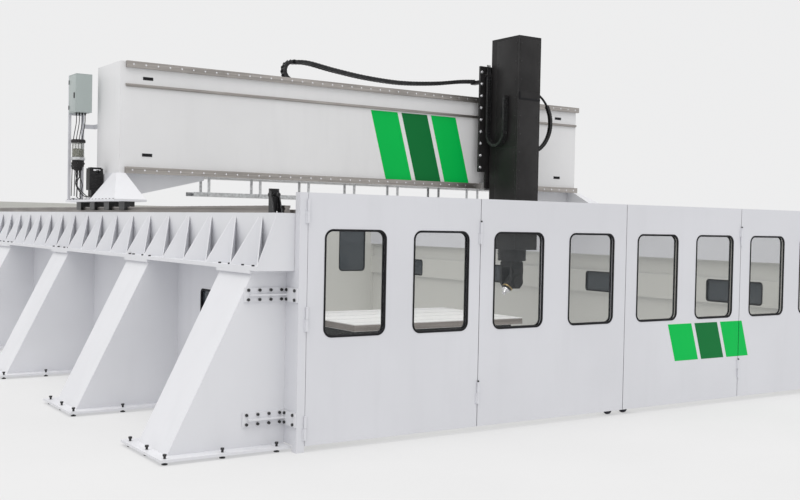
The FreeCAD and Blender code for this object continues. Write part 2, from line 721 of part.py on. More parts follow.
def end_stop(name, at_front):
    """Upright plate with two gussets, bolted to the beam's top, outside the guide rail."""
    edge = BEAM_FRONT + STOP_SETBACK if at_front else BEAM_FRONT + BEAM_LENGTH - STOP_SETBACK - 20
    upright = block(name + "_upright", (-D["rail_centre"] - 140, edge, D["beam_top"]), (105, 20, STOP_HEIGHT))
    pieces = [upright]
    for number, x in enumerate((-D["rail_centre"] - 140, -D["rail_centre"] - 50), 1):
        toe = edge - 90 if at_front else edge + 110
        face = edge if at_front else edge + 20
        outline = ((face, D["beam_top"]), (toe, D["beam_top"]), (face, D["beam_top"] + STOP_HEIGHT - 10))
        pieces.append(sheet_prism(f"{name}_gusset_{number}", "side", [(polygon, outline)], x, 12))
    return fuse(name, pieces), edge


def absorber(name, at_front, edge):
    """Shock absorber: body through the upright, with its buffer facing the gantry."""
    centre_x, centre_z = -D["rail_centre"] - 84, D["beam_top"] + STOP_HEIGHT - 60
    if at_front:
        body = rod(name + "_body", (centre_x, edge - 88, centre_z), 20, 170, "y")
        nose = rod(name + "_nose", (centre_x, edge + 82, centre_z), 26, 18, "y")
    else:
        body = rod(name + "_body", (centre_x, edge + 20 - 82, centre_z), 20, 170, "y")
        nose = rod(name + "_nose", (centre_x, edge + 20 - 100, centre_z), 26, 18, "y")
    return fuse(name, [body, nose]), body


stop_pieces, absorber_pieces = [], []
for name, at_front in (("front_stop", True), ("rear_stop", False)):
    stop, edge = end_stop(name, at_front)
    buffer, hole = absorber(name + "_buffer", at_front, edge)
    bored = cut(name + "_bored", stop, [hole])
    stop_pieces += [bored, mirror(name + "_right", bored)]
    absorber_pieces += [buffer, mirror(name + "_buffer_right", buffer)]
node(group("end_stops", stop_pieces), "end_stops")
node(group("shock_absorbers", absorber_pieces), "shock_absorbers")

# ---------------------------------------------------------------- work table
table = new_body("table_top")
table_sketch = sketch_in(table, "table_outline", "top", D["table_height"] - D["table_edge"])
table_right = D["table_left"] + D["table_length"]
table_back = D["table_front"] + D["table_depth"]
rectangle(table_sketch, D["table_left"], table_right, D["table_front"], table_back)
pad(table, table_sketch, D["table_edge"])
node(table, "table_top")
LEG_SIZE, RAIL_DEEP, INSET = 120, 160, 120
underside = D["table_height"] - D["table_edge"]
leg_columns = (D["table_left"] + INSET, D["table_left"] + (D["table_length"] - LEG_SIZE) / 2,
               table_right - INSET - LEG_SIZE)
leg_rows = (D["table_front"] + INSET, table_back - INSET - LEG_SIZE)
tie_length = leg_rows[1] - leg_rows[0] - LEG_SIZE
members = []
for row, y in enumerate(leg_rows, 1):
    members.append(block(f"table_rail_{row}", (leg_columns[0], y, underside - RAIL_DEEP),
                         (D["table_length"] - INSET * 2, LEG_SIZE, RAIL_DEEP)))
    for column, x in enumerate(leg_columns, 1):
        members.append(block(f"table_leg_{row}{column}", (x, y, 0),
                             (LEG_SIZE, LEG_SIZE, underside - RAIL_DEEP)))
for column, x in enumerate(leg_columns, 1):
    members.append(block(f"table_tie_{column}", (x, leg_rows[0] + LEG_SIZE, underside - RAIL_DEEP),
                         (LEG_SIZE, tie_length, RAIL_DEEP)))
node(group("table_frame_set", members), "table_frame")

# ---------------------------------------------------------------- doors
HINGE_Y = -D["half_length"] - D["hinge_radius"]
POST_LEVELS = (2350, 1300, 240)
FOLD_LEVELS = (2160, 430)


def half_barrel(name, x, middle, upper, towards):
    """Half of a weld-on barrel hinge: a barrel and the pad that joins it to one panel."""
    low = middle + 1 if upper else middle - D["hinge_half"]
    barrel = rod(name + "_barrel", (x, HINGE_Y, low), D["hinge_radius"], D["hinge_half"] - 1)
    reach = D["hinge_radius"] + 8
    start = x + D["door_gap"] / 2 + 1 if towards > 0 else x - D["door_gap"] / 2 - 1 - reach
    weld = block(name + "_weld", (start, HINGE_Y + 2, low),
                 (reach, D["hinge_radius"] - 2, D["hinge_half"] - 1))
    return fuse(name, [barrel, weld])


def bored_barrel(name, x, middle, towards):
    """The lower half carries the pin, so the upper half is bored for it with running clearance."""
    solid = half_barrel(name + "_solid", x, middle, True, towards)
    pin_hole = rod(name + "_hole", (x, HINGE_Y, middle), 6 + D["running_gap"], D["hinge_half"] - 20)
    return cut(name, solid, [pin_hole])


def pinned_barrel(name, x, middle, towards):
    solid = half_barrel(name + "_solid", x, middle, False, towards)
    pin = rod(name + "_pin", (x, HINGE_Y, middle - 20), 6, D["hinge_half"] - 20)
    return fuse(name, [solid, pin])


def hinge_row(name, x, levels, door_side):
    """The halves of a row of hinges: those of the moving panel, then those of the other."""
    moving = [bored_barrel(f"{name}_upper_{k}", x, level, door_side) for k, level in enumerate(levels)]
    fixed = [pinned_barrel(f"{name}_lower_{k}", x, level, -door_side) for k, level in enumerate(levels)]
    return moving, fixed


def castor_shelf(name, x):
    """Shelf welded to the inside of a door, to which the castor's plate is bolted."""
    back = -D["half_length"] + D["door_thickness"]
    top = D["wheel_radius"] * 2 + 30
    shelf = block(name + "_plate", (x - 60, back, top), (120, D["castor_behind"] + 50, 8))
    outline = ((back, top + 8), (back + D["castor_behind"] + 50, top + 8), (back, top + 148))
    gusset = sheet_prism(name + "_gusset", "side", [(polygon, outline)], x - 5, 10)
    return [shelf, gusset]


hinge_parts = {1: [], 2: [], 3: [], 4: [], "post": []}
left_moving, left_fixed = hinge_row("left_post_hinge", DOOR_EDGES[0], POST_LEVELS, 1)
right_moving, right_fixed = hinge_row("right_post_hinge", DOOR_EDGES[4], POST_LEVELS, -1)
hinge_parts["post"] += left_fixed + right_fixed
hinge_parts[1] += left_moving
hinge_parts[4] += right_moving
fold_moving, fold_fixed = hinge_row("left_fold_hinge", DOOR_EDGES[1], FOLD_LEVELS, 1)
hinge_parts[2] += fold_moving
hinge_parts[1] += fold_fixed
fold_moving, fold_fixed = hinge_row("right_fold_hinge", DOOR_EDGES[3], FOLD_LEVELS, -1)
hinge_parts[3] += fold_moving
hinge_parts[4] += fold_fixed
node(group("post_hinges", hinge_parts["post"]), "post_hinges")

for number, side in DOORS:
    left, right = DOOR_EDGES[number - 1] + D["door_gap"] / 2, DOOR_EDGES[number] - D["door_gap"] / 2
    windows = window_pair(DOOR_EDGES[number - 1], DOOR_EDGES[number])
    cuts = [(start, end, D["window_low"], D["window_high"]) for start, end in windows]
    name = f"door_{number}"
    door = panel(name + "_sheet", left, right, windows, -D["half_length"], True)
    if number in (2, 3):
        centre = D["centre_seam"] + D["castor_inset"] * (-1 if number == 2 else 1)
        door = fuse(name + "_panel", [door] + castor_shelf(name + "_castor_shelf", centre))
    node(door, name + "_panel")
    node(seals(name + "_gaskets", "front", cuts, -D["half_length"], D["window_corner"]), name + "_seals")
    node(glazing(name + "_panes", "front", cuts, -D["half_length"], D["window_corner"]), name + "_glass")
    node(group(name + "_hinge_set", hinge_parts[number]), name + "_hinges")

# ---------------------------------------------------------------- castors
for number, sign in ((1, -1), (2, 1)):
    x = D["centre_seam"] + D["castor_inset"] * sign
    swivel_y = -D["half_length"] + D["door_thickness"] + D["castor_behind"]
    axle_y = swivel_y - D["castor_trail"]
    plate_top = D["wheel_radius"] * 2 + 29
    half = D["wheel_width"] / 2 + 4
    plate = rod(f"castor_{number}_plate", (x, swivel_y, plate_top - 12), 38, 12)
    cheeks = [block(f"castor_{number}_cheek_{k}", (start, axle_y - 18, D["wheel_radius"] - 16),
                    (4, 58, plate_top - 8 - D["wheel_radius"] + 16))
              for k, start in enumerate((x - half - 4, x + half))]
    axle = rod(f"castor_{number}_axle", (x - half - 4, axle_y, D["wheel_radius"]), D["axle_radius"],
               half * 2 + 8, "x")
    node(fuse(f"castor_{number}_fork", [plate, axle] + cheeks), f"castor_fork_{number}")
    bore = D["axle_radius"] + D["running_gap"]
    half_width = D["wheel_width"] / 2
    wheel = revolve(f"castor_{number}_wheel", (
        (bore, -half_width), (26, -half_width), (30, -half_width + 6), (44, -half_width + 6),
        (50, -half_width + 2), (D["wheel_radius"] - 5, -half_width), (D["wheel_radius"], -half_width + 7),
        (D["wheel_radius"], half_width - 7), (D["wheel_radius"] - 5, half_width), (50, half_width - 2),
        (44, half_width - 6), (30, half_width - 6), (26, half_width), (bore, half_width)))
    wheel.Placement = Placement(Vector(), Rotation(Vector(0, 1, 0), 90))
    for axis, value in zip("xyz", (x, axle_y, D["wheel_radius"])):
        bind(wheel, "Placement.Base." + axis, value)
    node(wheel, f"castor_wheel_{number}")

# ---------------------------------------------------------------- gantry
GANTRY_BACK = D["gantry_front"] + D["gantry_depth"]
GANTRY_TOP = D["gantry_bottom"] + D["gantry_height"]
plate = D["gantry_plate"]
box_low = (-D["gantry_half"], D["gantry_front"], D["gantry_bottom"])
outer_box = block("gantry_outer", box_low, (D["gantry_half"] * 2, D["gantry_depth"], D["gantry_height"]))
CELLS = 8
cell_length = (D["gantry_half"] * 2 - plate) / CELLS
cells = []
for number in range(CELLS):
    for level in (0, 1):
        cell_high = (D["gantry_height"] - plate) / 2
        low = (-D["gantry_half"] + plate + cell_length * number, D["gantry_front"] + plate,
               D["gantry_bottom"] + plate + cell_high * level)
        cells.append(block(f"gantry_cell_{number}_{level}", low,
                           (cell_length - plate, D["gantry_depth"] - plate * 2, cell_high - plate)))
node(cut("gantry_box", outer_box, cells), "gantry_beam")

RAIL_LEFT, RAIL_LENGTH = -D["gantry_half"] + 75, D["gantry_half"] * 2 - 35
UPPER_RAIL, RAIL_FACE = GANTRY_TOP - 85, D["rail_face"]


def gantry_rail(name, low):
    """Rail on the gantry's front: a bar with a groove along its upper and lower side."""
    body = new_body(name)
    sketch = sketch_in(body, name + "_profile", "side", RAIL_LEFT)
    front, back = D["gantry_front"] - D["rail_proud"], D["gantry_front"]
    polygon(sketch, ((back, low), (back, low + RAIL_FACE), (back - 14, low + RAIL_FACE),
                     (back - 20, low + RAIL_FACE - 8), (back - 28, low + RAIL_FACE - 8),
                     (back - 34, low + RAIL_FACE), (front, low + RAIL_FACE), (front, low),
                     (back - 34, low), (back - 28, low + 8), (back - 20, low + 8), (back - 14, low)))
    pad(body, sketch, RAIL_LENGTH)
    return body


upper = gantry_rail("upper_rail", UPPER_RAIL)
lower = gantry_rail("lower_rail", D["gantry_bottom"])
node(group("gantry_rail_pair", [upper, lower]), "gantry_rails")
rack_z = GANTRY_TOP - 350
node(block("x_rack", (RAIL_LEFT, D["gantry_front"] - 26, rack_z), (RAIL_LENGTH - 40, 26, 40)), "gantry_rack")


FOOT_TOP = D["foot_base"] + D["foot_plate"]
RISER_FRONT = D["gantry_front"] + 160


def gantry_foot():
    """Foot over the rail: base plate, sloping buttress in front, riser, and a gusset under the gantry."""
    outer, inner = -D["foot_outer"], -D["foot_inner"]
    base_plate = block("foot_plate", (outer, D["foot_front"], D["foot_base"]),
                       (inner - outer, D["foot_length"], D["foot_plate"]))
    buttress = doc.addObject("Part::Wedge", "foot_buttress")
    buttress.Placement = Placement(Vector(), Rotation(Vector(1, 0, 0), 90))
    limits = {"Xmin": outer + 20, "Xmax": inner, "Ymin": FOOT_TOP, "Ymax": D["gantry_bottom"],
              "Zmin": -RISER_FRONT, "Zmax": -D["foot_front"] - 30,
              "X2min": -D["gantry_half"] - 60, "X2max": inner,
              "Z2min": -D["gantry_front"] - 100, "Z2max": -D["gantry_front"] + 60}
    for prop, value in limits.items():
        bind(buttress, prop, value)
    riser = block("foot_riser", (-D["gantry_half"] - 50, RISER_FRONT, FOOT_TOP),
                  (D["gantry_half"] + 50 - D["foot_inner"], 780, D["gantry_bottom"] - FOOT_TOP))
    reach = inner + D["foot_arm"]
    arm_outline = ((inner, FOOT_TOP + 30), (reach, D["gantry_bottom"] - 55), (reach, D["gantry_bottom"]),
                   (inner, D["gantry_bottom"]))
    arm = sheet_prism("foot_gusset", "front", [(polygon, arm_outline)], D["gantry_front"] + 120,
                      D["gantry_depth"] - 240)
    return fuse("left_gantry_foot", [base_plate, buttress, riser, arm])


foot = gantry_foot()
node(group("gantry_foot_pair", [foot, mirror("right_gantry_foot", foot)]), "gantry_feet")


def rail_block(name, start):
    """Bearing block that wraps the guide rail's head with a millimetre of clearance."""
    outer = block(name + "_outer", (-D["rail_centre"] - 70, start, D["beam_top"] + 34),
                  (140, 210, D["foot_base"] - D["beam_top"] - 34))
    slot = block(name + "_slot", (-D["rail_centre"] - D["rail_width"] / 2 - 1, start - 5, D["beam_top"] + 30),
                 (D["rail_width"] + 2, 220, D["rail_height"] - 29))
    return cut(name, outer, [slot])


BLOCK_LENGTH, BLOCK_COUNT, BLOCK_INSET = 210, 4, 30
block_pitch = (D["foot_length"] - BLOCK_LENGTH - BLOCK_INSET * 2) / (BLOCK_COUNT - 1)
block_starts = [D["foot_front"] + BLOCK_INSET + block_pitch * number for number in range(BLOCK_COUNT)]
left_blocks = [rail_block(f"left_block_{k}", start) for k, start in enumerate(block_starts)]
right_blocks = [mirror(piece.Name + "_right", piece) for piece in left_blocks]
node(group("foot_block_set", left_blocks + right_blocks), "foot_bearings")


def drive_unit():
    """Servo motor and gearbox that drive one end of the gantry along its rack."""
    x, y = -4460, -230
    bracket = block("drive_bracket", (x - 100, y - 100, FOOT_TOP), (200, 200, 20))
    gearbox = block("drive_gearbox", (x - 70, y - 70, FOOT_TOP + 20), (140, 140, 120))
    motor = block("drive_motor", (x - 98, y - 75, FOOT_TOP + 140), (196, 150, 310))
    return fuse("left_drive", [bracket, gearbox, motor])


drive = drive_unit()
node(group("drive_pair", [drive, mirror("right_drive", drive)]), "drive_motors")

SERVICE_LEFT, SERVICE_WIDTH, SERVICE_TOP, SERVICE_TUBE = -4668, 230, 4310, 30
SERVICE_FRONT = D["service_back"] - SERVICE_TUBE


def service_frame():
    """Upright frame on the left foot, stayed to the gantry's back, which carries the junction box."""
    posts = [block(f"service_post_{k}", (x, SERVICE_FRONT, FOOT_TOP),
                   (40, SERVICE_TUBE, SERVICE_TOP - FOOT_TOP))
             for k, x in enumerate((SERVICE_LEFT, SERVICE_LEFT + SERVICE_WIDTH - 40))]
    ties = [block(f"service_tie_{k}", (SERVICE_LEFT, SERVICE_FRONT, z), (SERVICE_WIDTH, SERVICE_TUBE, 40))
            for k, z in enumerate((2980, 3330, 3740, 4250))]
    stay_start = SERVICE_LEFT + SERVICE_WIDTH - 40
    stay = block("service_stay", (stay_start, SERVICE_FRONT, 3560),
                 (-D["gantry_half"] + 40 - stay_start, SERVICE_TUBE, 60))
    clasp = block("service_clasp", (-D["gantry_half"], GANTRY_BACK, 3560),
                  (40, D["service_back"] - GANTRY_BACK, 60))
    return fuse("service_frame_set", posts + ties + [stay, clasp])


node(service_frame(), "service_frame")
CASE_DEPTH, CASE_BOTTOM, CASE_HEIGHT, CASE_SHEET = 350, 3765, 545, 3
case_front = SERVICE_FRONT - CASE_DEPTH
case_low = (SERVICE_LEFT, case_front, CASE_BOTTOM)
case_size = (SERVICE_WIDTH, CASE_DEPTH, CASE_HEIGHT)
case = block("junction_case", case_low, case_size)
case_inside = block("junction_inside", tuple(value + CASE_SHEET for value in case_low),
                    tuple(value - CASE_SHEET * 2 for value in case_size))
node(cut("junction_hollow", case, [case_inside]), "junction_box")


def lube_unit():
    """Lubricator: pump block, band, clear reservoir with its cap, and the bracket on the frame."""
    x, y, low = -4560, 230, 2930
    turned = (("pump", 85, 150), ("band", 100, 45), ("reservoir", 88, 210), ("cap", 100, 50))
    pieces = []
    height = low
    for name, radius, length in turned:
        pieces.append(rod("lube_" + name, (x, y, height), radius, length))
        height += length
    pieces.append(block("lube_bracket", (x - 60, y, low + 20), (120, SERVICE_FRONT - y, 110)))
    return fuse("lubricator", pieces)


node(lube_unit(), "lube_unit")
HANGER_FIRST, HANGER_PITCH, HANGER_COUNT = -2830, 850, 7
TRAY_WIDTH, TRAY_SIDE, TRAY_SHEET = 300, 60, 5


def cable_tray():
    """Tray under the gantry, hung on pairs of flat bars."""
    front, low, half = D["gantry_front"] + 330, D["tray_bottom"], D["tray_half"]
    tray = block("tray_channel", (-half, front, low), (half * 2, TRAY_WIDTH, TRAY_SIDE))
    inside = block("tray_inside", (-half - 5, front + TRAY_SHEET, low + TRAY_SHEET),
                   (half * 2 + 10, TRAY_WIDTH - TRAY_SHEET * 2, TRAY_SIDE))
    hangers = [block(f"tray_hanger_{number}_{row}", (HANGER_FIRST + HANGER_PITCH * number, y, low),
                     (40, 12, D["gantry_bottom"] - low))
               for number in range(HANGER_COUNT) for row, y in enumerate((front - 10, front + TRAY_WIDTH))]
    return fuse("cable_tray_set", [cut("tray_hollow", tray, [inside])] + hangers)


TROUGH_WIDTH, TROUGH_SHEET = 160, 12
trough = block("chain_trough", (-D["gantry_half"] + 210, D["trough_back"] - TROUGH_WIDTH, GANTRY_TOP),
               (D["gantry_half"] * 2 - 250, TROUGH_WIDTH, TROUGH_SHEET))
node(group("tray_pair", [cable_tray(), trough]), "cable_trays")

# ---------------------------------------------------------------- carriage
RAM_MIDDLE = D["ram_left"] + D["ram_width"] / 2
RAM_BACK = D["ram_front"] + D["ram_depth"]
CARRIAGE_BACK = D["carriage_front"] + D["carriage_plate"]
carriage = new_body("carriage_sheet")
carriage_sketch = sketch_in(carriage, "carriage_outline", "front", -D["carriage_front"])
wide, narrow = D["carriage_wide"], D["carriage_narrow"]
step = D["gantry_bottom"] + 280
polygon(carriage_sketch, tuple((RAM_MIDDLE + x, z) for x, z in (
    (-narrow, D["gantry_bottom"] + 10), (narrow, D["gantry_bottom"] + 10), (narrow, step), (wide, step),
    (wide, D["carriage_top"]), (-wide, D["carriage_top"]), (-wide, step), (-narrow, step))))
pad(carriage, carriage_sketch, D["carriage_plate"], True)

CHAIN_LOW = GANTRY_TOP + TROUGH_SHEET
CHAIN_HIGH = CHAIN_LOW + D["chain_radius"] * 2
CHAIN_END = 2250
RAM_CHAIN_LEFT = D["ram_left"] - D["ram_chain_width"] - 17


def chain_arms():
    """The carriage's two chain brackets: one over the gantry, one in front for the ram's chain."""
    over = block("over_gantry_arm", (CHAIN_END, CARRIAGE_BACK, CHAIN_HIGH),
                 (100, D["trough_back"] - 25 - CARRIAGE_BACK, D["chain_thick"]))
    front = D["ram_chain_back"] - D["ram_chain_thick"] / 2
    ahead = block("ram_chain_arm", (RAM_CHAIN_LEFT, front, D["ram_chain_fixed"]),
                  (D["ram_chain_width"], D["carriage_front"] - front, 50))
    return [over, ahead]


node(fuse("carriage_plate_set", [carriage] + chain_arms()), "carriage_plate")


def carriage_block(name, x, low):
    """Block that grips a gantry rail from the front with a millimetre of clearance."""
    outer = block(name + "_outer", (x, CARRIAGE_BACK, low - 20),
                  (200, D["gantry_front"] - 8 - CARRIAGE_BACK, RAIL_FACE + 40))
    slot = block(name + "_slot", (x - 5, D["gantry_front"] - D["rail_proud"] - 1, low - 1),
                 (210, 60, RAIL_FACE + 2))
    return cut(name, outer, [slot])


carriage_blocks = [carriage_block(f"carriage_block_{row}{k}", RAM_MIDDLE + x, low)
                   for row, low in enumerate((UPPER_RAIL, D["gantry_bottom"]))
                   for k, x in enumerate((-270, 70))]


def ram_block(name, x, low):
    """Block that guides a ram rail, fixed to the front of the carriage plate."""
    outer = block(name + "_outer", (x - 34, RAM_BACK + 4, low), (68, D["carriage_front"] - RAM_BACK - 4, 150))
    slot = block(name + "_slot", (x - 18, RAM_BACK, low - 5), (36, 31, 160))
    return cut(name, outer, [slot])


RAM_RAILS = (-150, 150)
ram_blocks = [ram_block(f"ram_block_{row}{k}", RAM_MIDDLE + x, low)
              for row, low in enumerate((2960, 3560, 4160, 4760)) for k, x in enumerate(RAM_RAILS)]
node(group("carriage_block_set", carriage_blocks + ram_blocks), "carriage_bearings")

# ---------------------------------------------------------------- ram
shell_low = (D["ram_left"], D["ram_front"], D["ram_bottom"])
shell_high = D["ram_top"] - D["ram_bottom"]
shell = block("ram_outer", shell_low, (D["ram_width"], D["ram_depth"], shell_high))
skin = D["ram_wall"]
CELL_COUNT = 4
cell_high = (shell_high - skin) / CELL_COUNT
ram_cells = [block(f"ram_cell_{k}", (D["ram_left"] + skin, D["ram_front"] + skin,
                                     D["ram_bottom"] + skin + cell_high * k),
                   (D["ram_width"] - skin * 2, D["ram_depth"] - skin * 2, cell_high - skin))
             for k in range(CELL_COUNT)]
chain_front = D["ram_chain_back"] - D["ram_chain_radius"] * 2
clip = block("ram_chain_clip", (RAM_CHAIN_LEFT, chain_front - D["ram_chain_thick"] / 2, D["ram_chain_clip"]),
             (D["ram_left"] - RAM_CHAIN_LEFT, D["ram_chain_thick"], 50))
node(fuse("ram_casing", [cut("ram_hollow", shell, ram_cells), clip]), "ram_column")
node(group("ram_rail_pair", [block(f"ram_rail_{k}", (RAM_MIDDLE + x - 17, RAM_BACK, D["ram_bottom"] + 30),
                                   (34, 30, shell_high - 80)) for k, x in enumerate(RAM_RAILS)]), "ram_rails")
HEAD_Y = D["ram_front"] + D["ram_depth"] / 2
STAGE_BOTTOM = D["ram_bottom"] - 190
node(rod("c_axis_stage", (RAM_MIDDLE, HEAD_Y, STAGE_BOTTOM), 235, 190), "rotary_stage")


# ---------------------------------------------------------------- head, spindle and tool
def head_fork():
    """Turning yoke: ring under the stage, bridge, and two arms bored for the trunnions."""
    ring = rod("head_ring", (RAM_MIDDLE, HEAD_Y, STAGE_BOTTOM - 22), 180, 20)
    bridge_low = STAGE_BOTTOM - 110
    reach = D["arm_gap"] / 2 + D["arm_plate"]
    bridge = block("head_bridge", (RAM_MIDDLE - 125, HEAD_Y - reach, bridge_low), (250, reach * 2, 90))
    outline = ((RAM_MIDDLE - 125, bridge_low + 20), (RAM_MIDDLE - 125, D["tilt_height"] - 40),
               (RAM_MIDDLE - 65, D["tilt_height"] - 118), (RAM_MIDDLE + 65, D["tilt_height"] - 118),
               (RAM_MIDDLE + 125, D["tilt_height"] - 40), (RAM_MIDDLE + 125, bridge_low + 20))
    arms = [sheet_prism(f"head_arm_{k}", "front", [(polygon, outline)], start, D["arm_plate"])
            for k, start in enumerate((HEAD_Y - reach, HEAD_Y + D["arm_gap"] / 2))]
    hole = rod("trunnion_hole", (RAM_MIDDLE, HEAD_Y - reach - 5, D["tilt_height"]),
               D["trunnion_radius"] + D["running_gap"], reach * 2 + 10, "y")
    return cut("head_yoke", fuse("head_blank", [ring, bridge] + arms), [hole])


node(head_fork(), "head_fork")


def lean(piece):
    """Stand a turned piece on the tilt axis, leaning to the left with its nose down."""
    piece.Placement = Placement(Vector(), Rotation(Vector(0, 1, 0), SPINDLE_TILT))
    for axis, value in zip("xyz", (RAM_MIDDLE, HEAD_Y, D["tilt_height"])):
        bind(piece, "Placement.Base." + axis, value)
    return piece


spindle = revolve("spindle_housing", (
    (0, -218), (36, -218), (40, -190), (58, -176), (D["spindle_radius"], -120), (D["spindle_radius"], 180),
    (70, 198), (0, 198)))
lean(spindle)
reach = D["arm_gap"] / 2 + D["arm_plate"] - 2
trunnion = rod("trunnion", (RAM_MIDDLE, HEAD_Y - reach, D["tilt_height"]), D["trunnion_radius"],
               reach * 2, "y")
node(fuse("spindle", [spindle, trunnion]), "spindle_body")
collet_end = -268
collet_floor = collet_end + D["collet_depth"]
tool = revolve("tool_holder", (
    (0, -220), (34, -220), (34, -244), (28, collet_end), (D["collet_radius"], collet_end),
    (D["collet_radius"], collet_floor), (0, collet_floor)))
node(lean(tool), "tool_holder")


# ---------------------------------------------------------------- energy chains
def half_ring(name, centre, radius, thick, width, along, keep_low, keep_size):
    """Half of a flat ring round an axis: the part of it that lies in the given box."""
    before = {"x": (-5, 0, 0), "y": (0, -5, 0)}[along]
    inner_base = tuple(value + shift for value, shift in zip(centre, before))
    ring = cut(name + "_ring", rod(name + "_outer", centre, radius + thick / 2, width, along),
               [rod(name + "_inner", inner_base, radius - thick / 2, width + 10, along)])
    half = doc.addObject("Part::Common", name)
    half.Base = ring
    half.Tool = block(name + "_keep", keep_low, keep_size)
    return half


def gantry_chain():
    """Chain in a vertical plane along the gantry: lower run in the trough, bend, and run to the carriage."""
    thick, width, radius = D["chain_thick"], D["chain_width"], D["chain_radius"]
    front = D["trough_back"] - 25 - width
    reach = radius + thick / 2
    middle = CHAIN_LOW + reach
    lower = block("chain_lower_run", (D["chain_bend"], front, CHAIN_LOW),
                  (-D["chain_bend"] - 200, width, thick))
    upper = block("chain_upper_run", (D["chain_bend"], front, middle + radius - thick / 2),
                  (CHAIN_END - D["chain_bend"], width, thick))
    bend = half_ring("chain_loop", (D["chain_bend"], front, middle), radius, thick, width, "y",
                     (D["chain_bend"] - reach, front, CHAIN_LOW), (reach, width, reach * 2))
    return fuse("gantry_chain_band", [lower, upper, bend])


def ram_chain():
    """Chain that hangs in a U beside the ram: back leg from the carriage, front leg up to the ram."""
    thick, width, radius = D["ram_chain_thick"], D["ram_chain_width"], D["ram_chain_radius"]
    bend, back = D["ram_chain_bend"], D["ram_chain_back"]
    reach = radius + thick / 2
    legs = [block(name, (RAM_CHAIN_LEFT, y - thick / 2, bend), (width, thick, top - bend))
            for name, y, top in (("ram_chain_back_leg", back, D["ram_chain_fixed"]),
                                 ("ram_chain_front_leg", back - radius * 2, D["ram_chain_clip"]))]
    loop = half_ring("ram_chain_loop", (RAM_CHAIN_LEFT, back - radius, bend), radius, thick, width, "x",
                     (RAM_CHAIN_LEFT, back - radius - reach, bend - reach), (width, reach * 2, reach))
    return fuse("ram_chain_band", legs + [loop])


def hose_loop():
    """Hose that leaves the ram's right side, bows out and comes back to it lower down."""
    radius, thick, width = D["hose_radius"], D["ram_chain_thick"], D["ram_chain_width"]
    ram_right = D["ram_left"] + D["ram_width"]
    reach = radius + thick / 2
    return half_ring("ram_hose", (ram_right, D["hose_front"], D["hose_height"]), radius, thick, width, "y",
                     (ram_right, D["hose_front"], D["hose_height"] - reach), (reach, width, reach * 2))


node(gantry_chain(), "gantry_chain")
node(ram_chain(), "ram_chain")
node(hose_loop(), "ram_hose_loop")

# ---------------------------------------------------------------- check and export
doc.recompute()
for item in doc.Objects:
    if {"Invalid", "Error"} & set(item.State):
        raise SystemExit(f"failed: {item.Name} {item.State}")
os.makedirs("parts", exist_ok=True)
for piece in NODES:
    shape = piece.Shape
    if shape.isNull() or not shape.isValid() or not shape.Solids:
        raise SystemExit(f"bad shape: {piece.Label}")
    shape.exportStep(f"parts/{piece.Label}.step")
print(len(NODES), "nodes")
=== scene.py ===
"""Looks of the gantry router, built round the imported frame. Metres, +Z up, +Y away from the doors."""
import math
import bmesh
import bpy
from mathutils import Matrix, Vector


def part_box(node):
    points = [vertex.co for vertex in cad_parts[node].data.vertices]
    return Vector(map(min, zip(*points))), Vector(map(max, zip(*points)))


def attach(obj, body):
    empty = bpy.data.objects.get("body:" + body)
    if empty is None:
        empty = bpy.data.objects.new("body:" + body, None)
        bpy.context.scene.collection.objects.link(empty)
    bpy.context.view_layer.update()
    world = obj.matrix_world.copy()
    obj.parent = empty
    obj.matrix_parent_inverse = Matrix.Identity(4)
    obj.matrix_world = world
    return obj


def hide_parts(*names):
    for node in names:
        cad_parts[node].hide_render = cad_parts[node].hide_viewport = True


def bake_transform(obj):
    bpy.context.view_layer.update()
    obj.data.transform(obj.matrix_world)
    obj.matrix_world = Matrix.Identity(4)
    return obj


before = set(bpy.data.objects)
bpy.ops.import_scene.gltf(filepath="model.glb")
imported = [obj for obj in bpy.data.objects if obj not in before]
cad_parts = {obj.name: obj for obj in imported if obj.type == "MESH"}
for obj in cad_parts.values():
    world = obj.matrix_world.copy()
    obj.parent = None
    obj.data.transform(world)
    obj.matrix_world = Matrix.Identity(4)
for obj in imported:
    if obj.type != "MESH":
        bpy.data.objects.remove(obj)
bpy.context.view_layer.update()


def span(node):
    """Lowest and highest corner of a CAD node as vectors."""
    low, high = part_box(node)
    return Vector(low), Vector(high)


